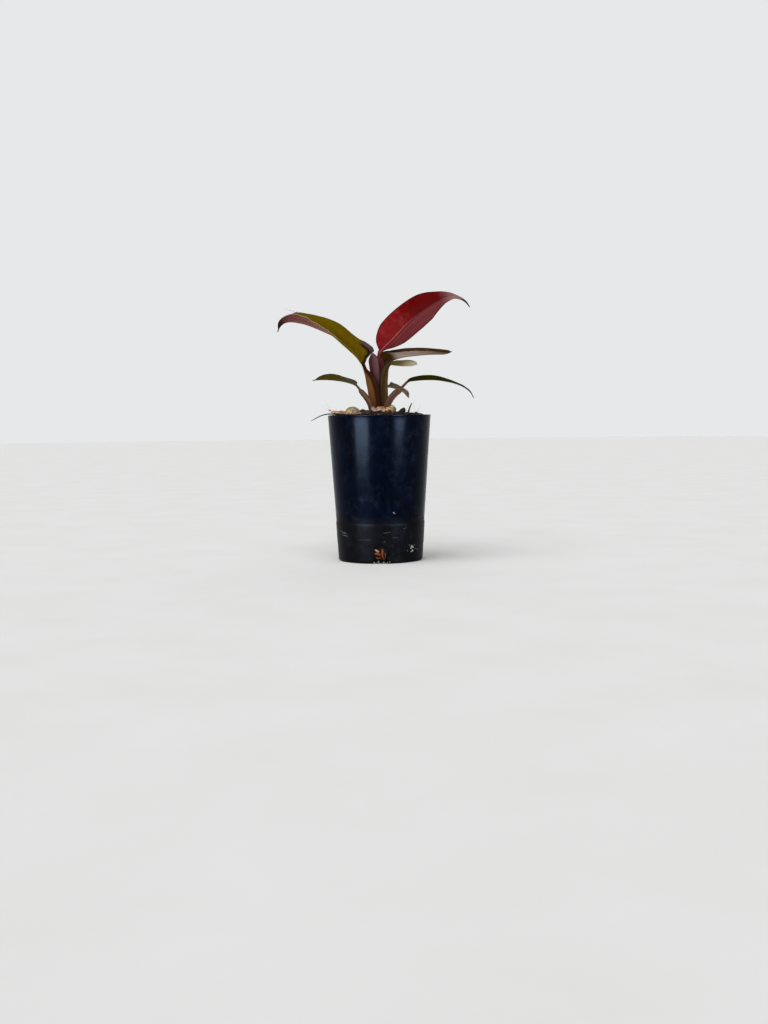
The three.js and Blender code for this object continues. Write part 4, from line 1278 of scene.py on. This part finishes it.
def mix_plug():
    """The root ball, with a crumbly top and a rough foot that shows in the slots."""
    bottom = POT["floor"] + CLEAR
    outline = [(0, bottom), (mix_radius(bottom) - 2.2, bottom), (mix_radius(4.4) - 0.2, 4.4)]
    outline += [(mix_radius(z) - 0.2, z) for z in (8, 12, 16, 20, 25, 30, 45, 60, 75, 90, 104)]
    outline += [((mix_radius(MIX_EDGE) - 0.1) * (1 - i / TOP_RINGS), MIX_EDGE)
                for i in range(TOP_RINGS)]
    outline.append((0, MIX_EDGE))
    points, faces = turned(outline, 132)
    shaped = []
    for x, y, z in points:
        if z > MIX_EDGE - 0.01:
            reach = math.hypot(x, y) / mix_radius(MIX_EDGE)
            crumb = (0.55 * noise.noise(Vector((x, y, 1)) / 2.1)
                     + 0.3 * noise.noise(Vector((x, y, 7)) / 0.9))
            z = mix_top(x, y) + crumb * (1 - reach ** 12) - 0.15
        elif z < POT["step_height"] - 1:
            rough = 0.25 * noise.noise(Vector((x, y, z)) / 1.4)
            x, y = x * (1 - abs(rough) / 34), y * (1 - abs(rough) / 34)
        shaped.append((x, y, z))
    return shaped, faces


mix = Shape()
mix.take(*mix_plug())
print("Mix points:", len(mix.points))

# %% [markdown]
# Bark bits lie on the top: first the large ones that the solid has, then smaller ones that fill
# the space between. Each carries one number that picks its tone, so that one finish covers fresh
# tan chips, old brown bark and nearly black compost.

# %% Bark bits
SMALL_BITS = 330
BITS_WITHIN = 38

draw = draws(7)
for i in range(MIX_BITS):
    angle = next(draw) * 2 * math.pi
    reach = 12 + 22.5 * math.sqrt(next(draw))
    size = 1.8 + 1.8 * next(draw)
    x, y = polar(reach, angle)
    turn = (next(draw) * 0.7, next(draw) * 0.7, next(draw) * math.pi)
    tone = (0.15 + 0.5 * random.Random(i).random(), 0, 0)
    mix.take(*nugget(on_mix(x, y, size * 0.12), size, turn, (1.25, 0.8, 0.62), i), tone)

bits = random.Random(11)
for i in range(SMALL_BITS):
    angle = bits.uniform(0, 2 * math.pi)
    reach = 37.2 * math.sqrt(bits.uniform(0.04, 1))
    size = bits.uniform(0.5, 1.5)
    reach = min(reach, BITS_WITHIN - size * 1.3)
    x, y = polar(reach, angle)
    turn = [bits.uniform(-0.6, 0.6), bits.uniform(-0.6, 0.6), bits.uniform(0, 6.3)]
    squash = (bits.uniform(1, 1.7), bits.uniform(0.6, 0.9), bits.uniform(0.4, 0.8))
    tone = (bits.random() ** 2, 0, 0)
    mix.take(*nugget(on_mix(x, y, size * 0.2), size, turn, squash, 40 + i, level=1), tone)
print("Mix points with its bits:", len(mix.points))

# %% [markdown]
# What the viewer sees over the rim is placed one by one: wet black clods along the front right,
# two fresh tan chips among them, and mauve-brown chips along the front left of the stem.

# %% Clods and chips
CLODS = [
    (13.5, -27, 2.2, 0.02), (16.5, -24, 2.0, 0.0), (19.5, -28, 2.4, 0.0), (23.5, -24.5, 2.0, 0.03),
    (26.5, -21, 2.2, 0.0), (29.5, -18, 1.8, 0.02), (32, -13, 1.8, 0.0), (14.5, -30, 1.6, 0.05),
    (25, -27, 1.2, 1.0), (28.4, -22.5, 1.0, 0.95),
    (-8, -26, 2.0, 0.8), (-11, -23, 2.2, 0.62), (-13.6, -27, 2.0, 0.75), (-16.4, -24.5, 1.8, 0.85),
    (-9.6, -19, 1.8, 0.3), (-6, -30, 1.6, 0.55),
]
for i, (x, y, size, tone) in enumerate(CLODS):
    turn = (0.3 * math.sin(5 * i), 0.3 * math.cos(3 * i), 1.7 * i)
    place = on_mix(x, y, size * 0.3)
    mix.take(*nugget(place, size * 0.85, turn, (1.35, 0.8, 0.6), 400 + i), (tone, 0, 0))
print("Clods and chips:", len(CLODS))

# %% [markdown]
# Damp bark is dark because the water in its pores takes the light, and it has almost no gloss. A
# ramp turns each bit's number into its tone, from wet compost to dry chips, and a grain of about
# 1 mm lightens and roughens it.

# %% Potting mix finish
def mix_finish():
    made, tree, shader, where = new_material("damp composted bark")
    pick = kept_facts(tree, "bit")["X"]
    tone = add(tree, "ShaderNodeValToRGB", {"Fac": pick}, stops=[
        (0.0, 0x120E0B), (0.3, 0x20170F), (0.6, 0x3A281C), (0.85, 0x624838), (1.0, 0x9A8060),
    ])
    grain = add(tree, "ShaderNodeTexNoise", {"Vector": where, "Scale": per_mm(1.1), "Detail": 6})
    lighter = add(tree, "ShaderNodeMapRange", {
        "Value": grain, "From Min": 0.55, "From Max": 0.75, "To Max": 0.3,
    })
    mixed = add(tree, "ShaderNodeMix", {0: lighter, 6: tone, 7: linear(0x5A4638)},
                data_type="RGBA")
    dress(tree, shader, mixed.outputs[2], 0.8, 0.03, (grain, 0.8, 0.5))
    return made


piece("mix_surface", mix.points, mix.faces, mix_finish(), ["potting_mix"],
      {"bit": mix.facts}, sharp=38)

# %% [markdown]
# Coir husk lies on the mix at the left: dry tan flakes, pointed at both ends and a little
# curled, and small shreds of them. A flat card would read as paper, so each flake is a thin
# closed lens with a bend along its length and ridges of fibre across its width. It keeps how far
# along and across each point lies, so that the finish can run its fibres along it.

# %% Husk flakes
HUSK = dict(count=11, start=178, end=236, radius=35, length=13, width=3.6, thick=0.8, bend=0.6)
SHREDS = dict(count=34, start=182, end=238, near=24, far=35, thick=0.5, bend=0.4, within=37.5)
STATIONS, ACROSS = 16, 9


def flake(centre, length, width, thick, turn, bend, seed, tone):
    """A curved, pointed flake of husk: points, faces and facts, which are its tone and the
    millimetres across and along it."""
    spin = spun(turn)
    points, facts = [], []
    for i in range(STATIONS):
        share = i / (STATIONS - 1)
        half = width * 0.5 * max(0.04, math.sin(math.pi * share) ** 0.8)
        half *= 1 + 0.25 * noise.noise(Vector((share * 5, seed, 0)))
        along = (share - 0.5) * length
        for face, order in ((-1, range(ACROSS)), (1, reversed(range(ACROSS)))):
            for j in order:
                x = -1 + 2 * j / (ACROSS - 1)
                ridge = 0.09 * math.sin(9 * x + seed) * thick
                z = face * thick * 0.5 * (1 - 0.7 * x * x) + ridge
                lift = bend * (2 * share - 1) ** 2 + 0.5 * bend * x * x
                points.append(spin @ Vector((along, x * half, z + lift)) + Vector(centre))
                facts.append((tone, x * half, along))
    return points, ring_faces(STATIONS, 2 * ACROSS), facts


husk = Shape()
draw = draws(21)
for i in range(HUSK["count"]):
    share = i / (HUSK["count"] - 1)
    angle = math.radians(HUSK["start"] + (HUSK["end"] - HUSK["start"]) * share)
    reach = HUSK["radius"] - 4 * next(draw)
    x, y = polar(reach, angle)
    turn = (0.5 * next(draw) - 0.25, 0.4 * next(draw) - 0.2, next(draw) * math.pi)
    lift = next(draw)
    sunk = 1 - 0.75 * share ** 2
    place = on_mix(x, y, 0.7 + sunk * (1.5 + 1.6 * lift))
    husk.take(*flake(place, HUSK["length"], HUSK["width"], HUSK["thick"],
                     (turn[0] * sunk, turn[1] * sunk, turn[2]), HUSK["bend"], i,
                     0.3 + 0.6 * lift))
shreds = random.Random(17)
for i in range(SHREDS["count"]):
    angle = math.radians(shreds.uniform(SHREDS["start"], SHREDS["end"]))
    reach = shreds.uniform(SHREDS["near"], SHREDS["far"])
    x, y = polar(reach, angle)
    length, width = shreds.uniform(3.5, 8), shreds.uniform(0.8, 2.2)
    turn = (shreds.uniform(-0.5, 0.5), shreds.uniform(-0.35, 0.35), shreds.uniform(0, math.pi))
    lift = shreds.random()
    if reach + length / 2 < SHREDS["within"]:
        husk.take(*flake(on_mix(x, y, 1 + 1.8 * lift), length, width, SHREDS["thick"],
                         turn, SHREDS["bend"], 30 + i, 0.2 + 0.7 * shreds.random()))
print("Husk points:", len(husk.points))

# %% [markdown]
# Dry coir is a matt mat of fibres, each about 0.2 mm thick. They are drawn about 0.6 mm wide, so
# that they show, by a noise that is squeezed to an eighth along the flake.

# %% Husk finish
def husk_finish():
    made, tree, shader, where = new_material("dry coir husk")
    pick, across, along = kept_facts(tree, "bit")
    squeezed = add(tree, "ShaderNodeMath", {0: along, 1: 0.12}, operation="MULTIPLY")
    fibre_place = add(tree, "ShaderNodeCombineXYZ", {"X": across, "Y": squeezed, "Z": pick})
    fibre = add(tree, "ShaderNodeTexNoise", {
        "Vector": fibre_place, "Scale": 1.6, "Detail": 4, "Roughness": 0.65,
    })
    added = add(tree, "ShaderNodeMath", {0: fibre, 1: 1.3, 2: pick},
                operation="MULTIPLY_ADD")
    place = add(tree, "ShaderNodeMath", {0: added, 1: 0.42}, operation="SUBTRACT")
    tone = add(tree, "ShaderNodeValToRGB", {"Fac": place}, stops=[
        (0.3, 0x7A543E), (0.6, 0xB88C68), (0.85, 0xD2A683), (1.0, 0xEBD4BA),
    ])
    grain = add(tree, "ShaderNodeTexNoise", {"Vector": where, "Scale": per_mm(0.9), "Detail": 4})
    dress(tree, shader, tone, 0.85, 0.2, (grain, 0.6, 0.2))
    return made


piece("husk_flakes", husk.points, husk.faces, husk_finish(), ["husk_chips"],
      {"bit": husk.facts})

# %% [markdown]
# Beside the stem lies a fallen scale leaf, curled into a small olive dome with a dry tan edge.
# It is a stretched ball, wrinkled lengthwise, and its tone goes from tan to olive with height.

# %% Fallen scale
SCALE = dict(x=-20.2, y=-13, size=(6.0, 4.8, 5.5), lift=0.4, turn=(0, 0.1, 0.3), wrinkles=7)
DOME_TAN, DOME_OLIVE = 113.2 * MM, 118 * MM

scale_centre = Vector(on_mix(SCALE["x"], SCALE["y"], SCALE["lift"]))
scale_spin = spun(SCALE["turn"])
dome, dome_faces = ball((0, 0, 0), SCALE["size"], 28)
wrinkled = []
for p in dome:
    crease = (1 + 0.025 * math.sin(SCALE["wrinkles"] * math.atan2(p.z, p.y))
              + 0.05 * noise.noise(p / 1.8))
    wrinkled.append(scale_spin @ Vector((p.x, p.y * crease, p.z * crease)) + scale_centre)


def scale_finish():
    made, tree, shader, where = new_material("dry olive scale leaf")
    parts = add(tree, "ShaderNodeSeparateXYZ", {"Vector": where}).outputs
    rise = add(tree, "ShaderNodeMapRange", {
        "Value": parts["Z"], "From Min": DOME_TAN, "From Max": DOME_OLIVE,
    })
    grain = add(tree, "ShaderNodeTexNoise", {"Vector": where, "Scale": per_mm(1.2), "Detail": 4})
    place = add(tree, "ShaderNodeMath", {0: grain, 1: 0.45, 2: rise}, operation="MULTIPLY_ADD")
    tone = add(tree, "ShaderNodeValToRGB", {"Fac": place}, stops=[
        (0.2, 0xAE8258), (0.45, 0x96843E), (0.8, 0x7E7636), (1.0, 0x666A32),
    ])
    dress(tree, shader, tone, 0.6, 0.15, (grain, 0.5, 0.2))
    return made


piece("scale_dome", wrinkled, dome_faces, scale_finish(), ["fallen_scale"])

# %% [markdown]
# A dry blade of grass lies over the rim at the left. It is a narrow leaf without quilting, so
# the same leaf form makes it, with its width worked out from where it is widest.

# %% Grass blade
GRASS = dict(
    bearing=205, stalk=[(-31, -11.5, 111.6), (-33, -12.6, 112.9), (-35, -13.6, 113.1)],
    rib=[(-38.4, -15.0, 113.1), (-42, -16.2, 112.5), (-46, -17.4, 110.9), (-51.5, -19, 108)],
    half=1.5, widest=0.3, taper=1, base=0.5, shoulder=(0, 0), roll=[(-1, 0)],
    folds=[(0, 20, 20), (1, 20, 20)], sheath=(0.9, 0.6, 0.1), thick=0.9, wave=0, quilt=0,
    vein_gap=1, columns=15, stalk_rings=14, blade_rings=40)
grass_tones = dict(
    upper_left=0x3E4A2A, upper_right=0x46522E, lower_left=0x323C22, lower_right=0x323C22,
    far_upper=0x566040, far_lower=0x465034, mottle=0x66705A, vein=0x5A6444, rib=0x6A7450,
    rib_until=0.9, margin=0x2A3020, tip=0x9A9C88, tip_from=0.75,
    stalk_left=0x3E4A2A, stalk_right=0x3E4A2A, stripe=0x566040)
leaf_piece("grass_dry", GRASS, leaf_finish("dry grass", grass_tones, rough=0.6),
           "grass_blade")

# %% [markdown]
# A thin brown stick stands in the mix at the right. It tapers, has two knots and a broken end, so
# it is a tube whose radii swell at the knots. Its bark is a grain of two browns, and the helper
# for it also serves fibres, hairs, grit and scuffs, which differ only in their tones and grain.

# %% Twig
TWIG = dict(path=[(21.9, -8, 110), (22.8, -8.2, 115.4), (25.0, -8.6, 121)], radius=0.85,
            taper=0.45, tip=0.16, knots=[(0.45, 0.16, 0.03), (0.75, 0.12, 0.025)])


def grained_finish(name, dark, light, size):
    """A matt finish of two tones in a grain of so many mm."""
    made, tree, shader, where = new_material(name)
    grain = add(tree, "ShaderNodeTexNoise", {"Vector": where, "Scale": per_mm(size), "Detail": 5})
    tone = add(tree, "ShaderNodeValToRGB", {"Fac": grain}, stops=[(0.35, dark), (0.65, light)])
    dress(tree, shader, tone, 0.75, 0.08, (grain, 0.6, 0.15))
    return made


path, _ = curve_through(TWIG["path"], samples=14)
share = np.linspace(0, 1, len(path))
radii = TWIG["radius"] - TWIG["taper"] * share
for place, swell, spread in TWIG["knots"]:
    radii += swell * np.exp(-((share - place) / spread) ** 2)
radii[-1] = TWIG["tip"]
points, faces = tube(path, radii, 14)
twig_bark = grained_finish("weathered twig bark", 0x24140E, 0x5C3E32, 0.8)
piece("twig_stick", points, faces, twig_bark, ["twig"])

# %% [markdown]
# Coir fibres lie and stand all over the mix. Hair curves would be lost when the model is saved,
# so each is a thin tube of real mesh that wavers and droops a little at every step.

# %% Coir fibres
FIBRES = dict(count=120, near_rim=36, within=37.5, droop=0.12)


def strand(shape, start, heading, length, radius, droop, rng, steps=9, sides=5):
    """Adds a thin wavering tube that starts in a heading and droops under its weight."""
    at, going = Vector(start), Vector(heading).normalized()
    path = [at.copy()]
    for _ in range(steps):
        waver = Vector((rng.uniform(-0.2, 0.2), rng.uniform(-0.2, 0.2), -droop))
        going = (going + waver).normalized()
        at = at + going * (length / steps)
        path.append(at.copy())
    radii = [radius * (1 - 0.6 * k / steps) for k in range(steps + 1)]
    shape.take(*tube([tuple(p) for p in path], radii, sides))


fibres = Shape()
rng = random.Random(5)
for _ in range(FIBRES["count"]):
    angle, reach = rng.uniform(0, 2 * math.pi), FIBRES["near_rim"] * math.sqrt(rng.uniform(0.05, 1))
    x, y = polar(reach, angle)
    heading = (rng.uniform(-1, 1), rng.uniform(-1, 1), rng.uniform(0.05, 0.5))
    length = rng.uniform(3, 8)
    if math.hypot(x + heading[0] * length, y + heading[1] * length) > FIBRES["within"]:
        heading = (-0.5 * x / reach, -0.5 * y / reach, 0.3)
    strand(fibres, on_mix(x, y, -0.2), heading, length, rng.uniform(0.09, 0.2),
           FIBRES["droop"], rng)
coir_fibre = grained_finish("coir fibre", 0x5E4434, 0x9C7E62, 1.5)
piece("coir_fibres", fibres.points, fibres.faces, coir_fibre)

# %% [markdown]
# Pale root hairs stand up from the mix at both sides, and a dried wisp is left on the top edge of
# the olive leaf. They are placed one by one, since each shows against the backdrop. Each hair is
# listed as where it stands, how far it leans and its length.

# %% Pale hairs
HAIRS = [(-36.5, -9, -0.5, 15), (-37, -6, -0.25, 17), (-35.5, -12, -0.7, 10),
         (-36, -3, -0.35, 12), (-33, -14, 0.05, 8), (-26, -14, 0.02, 8),
         (21, -10, 0.15, 9), (27, -8, 0.1, 12), (29, -6, 0.2, 10),
         (25, -12, -0.1, 7), (19, -4, 0.05, 11)]
WISP = [(-61.5, 4.1, 191.3), (-65, 4.1, 192.3), (-69, 3.9, 193.4), (-72.4, 3.6, 194.6)]

hairs = Shape()
rng = random.Random(9)
for x, y, lean, length in HAIRS:
    strand(hairs, on_mix(x, y), (lean, -0.05, 1), length, 0.1, 0.02, rng)
wisp_path, _ = curve_through(WISP, samples=6)
hairs.take(*tube(wisp_path, np.linspace(0.42, 0.1, len(wisp_path)), 6))
hair_finish = grained_finish("pale dry root hair", 0xF4E8DC, 0xFFFAF4, 2)
piece("pale_hairs", hairs.points, hairs.faces, hair_finish)

# %% [markdown]
# Behind the front slot roots press against the wall: a cream tip, an orange-red stub, an
# orange-brown one that stands upright, and two thin dark ones. Each is a tube that is thickest in
# its middle, listed as its path, its radius and the number that picks its tone.

# %% Roots
ROOTS = [
    ([(-4.4, -31.2, 10.6), (-3.2, -31.9, 10.2), (-2.0, -31.7, 9.4), (-0.8, -30.9, 8.9)], 0.8, 0.85),
    ([(-4.6, -30.9, 7.4), (-3.0, -31.8, 7.8), (-1.2, -31.9, 7.2), (0.4, -30.9, 6.4)], 1.0, 0.3),
    ([(1.2, -31.0, 11.6), (1.5, -31.9, 9.4), (1.4, -32.0, 6.4), (2.0, -31.7, 3.6)], 0.75, 0.4),
    ([(3.2, -30.8, 9.0), (3.6, -31.6, 6.0), (2.8, -31.6, 3.0)], 0.45, 0.1),
    ([(-3.8, -31.0, 4.8), (-2.0, -31.7, 4.2), (0.6, -31.6, 4.6)], 0.5, 0.15),
]


def root_finish():
    made, tree, shader, where = new_material("living orange root")
    pick = kept_facts(tree, "bit")["X"]
    grain = add(tree, "ShaderNodeTexNoise", {"Vector": where, "Scale": per_mm(0.8), "Detail": 4})
    place = add(tree, "ShaderNodeMath", {0: grain, 1: 0.25, 2: pick},
                operation="MULTIPLY_ADD")
    tone = add(tree, "ShaderNodeValToRGB", {"Fac": place}, stops=[
        (0.1, 0x3E180A), (0.35, 0x843A18), (0.6, 0x964C28), (0.9, 0xC4A882),
    ])
    dress(tree, shader, tone, 0.5, 0.04)
    return made


roots = Shape()
for path, radius, tone in ROOTS:
    fine, _ = curve_through(path, samples=8)
    taper = [radius * (0.35 + 0.65 * math.sin(math.pi * min(1, 0.15 + 0.85 * k / len(fine))))
             for k in range(len(fine))]
    roots.take(*tube(fine, taper, 12), (tone, 0, 0))
piece("slot_roots", roots.points, roots.faces, root_finish(),
      facts={"bit": roots.facts})

# %% [markdown]
# Dried lime and perlite stick to the wall, mostly in one splash at the right, with a few grains
# at the foot of the front slot. They are the same nuggets as the bark, pressed flat. Each is
# listed as its angle round the pot, its height and its size.

# %% Grit
GRIT = [
    (45, 12.2, 0.9), (47.5, 11.4, 0.7), (43.5, 11.0, 0.6), (46.5, 9.0, 0.75), (44.5, 8.3, 0.45),
    (38, 9.2, 0.3), (52, 10.2, 0.3), (57, 9.4, 0.32), (41, 13.4, 0.25), (50, 13.0, 0.25),
    (17, 38.6, 0.45), (18.5, 38.0, 0.3), (-3, 1.6, 0.5), (-9, 1.2, 0.45), (4, 1.4, 0.4),
    (12, 1.5, 0.35), (9, 0.9, 0.3),
]


def on_wall(angle_degrees, height, proud=0.0):
    """A point on the pot's outer wall; angle 0 faces the viewer and grows to the right."""
    angle = math.radians(angle_degrees - 90)
    radius = wall_radius(height) + proud
    return (*polar(radius, angle), height)


grit = Shape()
for i, (angle, height, size) in enumerate(GRIT):
    turn = (0, 0, math.radians(angle))
    grit.take(*nugget(on_wall(angle, height, 0.02), size, turn, (1.1, 0.35, 0.9), 70 + i))
grit_finish = grained_finish("dried lime and perlite grit", 0xA8ACA0, 0xE4E6DC, 0.7)
piece("wall_grit", grit.points, grit.faces, grit_finish)

# %% [markdown]
# Shallow scratches and rubs on the lower wall are pale strokes of scraped plastic, a few
# hundredths of a millimetre proud, so each is a thin strip that follows the wall. Each is listed
# as its start and end, by angle and height, and its width.

# %% Scuffs
SCUFFS = [
    ((-62, 23.6), (-49, 22.4), 0.7), ((-60, 21.2), (-47, 20.2), 0.7),
    ((-57, 22.6), (-52, 22.0), 0.5), ((3, 23.4), (13, 24.0), 0.35),
    ((30, 26.2), (36, 26.9), 0.3), ((2, 16.6), (7, 16.9), 0.3),
    ((-30, 18.0), (-12, 18.4), 0.18), ((14, 19.6), (24, 19.8), 0.2),
    ((-75, 40), (-73, 55), 0.16), ((60, 34), (66, 34.6), 0.25),
    ((150, 22), (163, 24), 0.4), ((205, 48), (214, 47), 0.3),
    ((120, 60), (124, 66), 0.25), ((250, 30), (262, 28.6), 0.35),
]
PROUD, ROOTED = 0.04, -0.1


def stroke(shape, start, end, width, wobble, seed, steps=12):
    """Adds a thin raised stroke on the wall from one (angle, height) to another."""
    rings = []
    for k in range(steps + 1):
        share = k / steps
        angle = start[0] + (end[0] - start[0]) * share
        height = (start[1] + (end[1] - start[1]) * share
                  + wobble * noise.noise(Vector((4 * share, seed, 0))))
        half = 0.5 * width * (0.25 + 0.75 * math.sin(math.pi * (0.08 + 0.84 * share)))
        rings += [on_wall(angle, height + offset * half, proud)
                  for offset, proud in ((-1, ROOTED), (-0.8, PROUD), (0.8, PROUD), (1, ROOTED))]
    shape.take(rings, ring_faces(steps + 1, 4))


scuffs = Shape()
for i, (start, end, width) in enumerate(SCUFFS):
    stroke(scuffs, start, end, width, 0.5, i)
scuff_finish = grained_finish("scraped grey plastic", 0x2C3036, 0x70757A, 0.9)
piece("wall_scuffs", scuffs.points, scuffs.faces, scuff_finish)
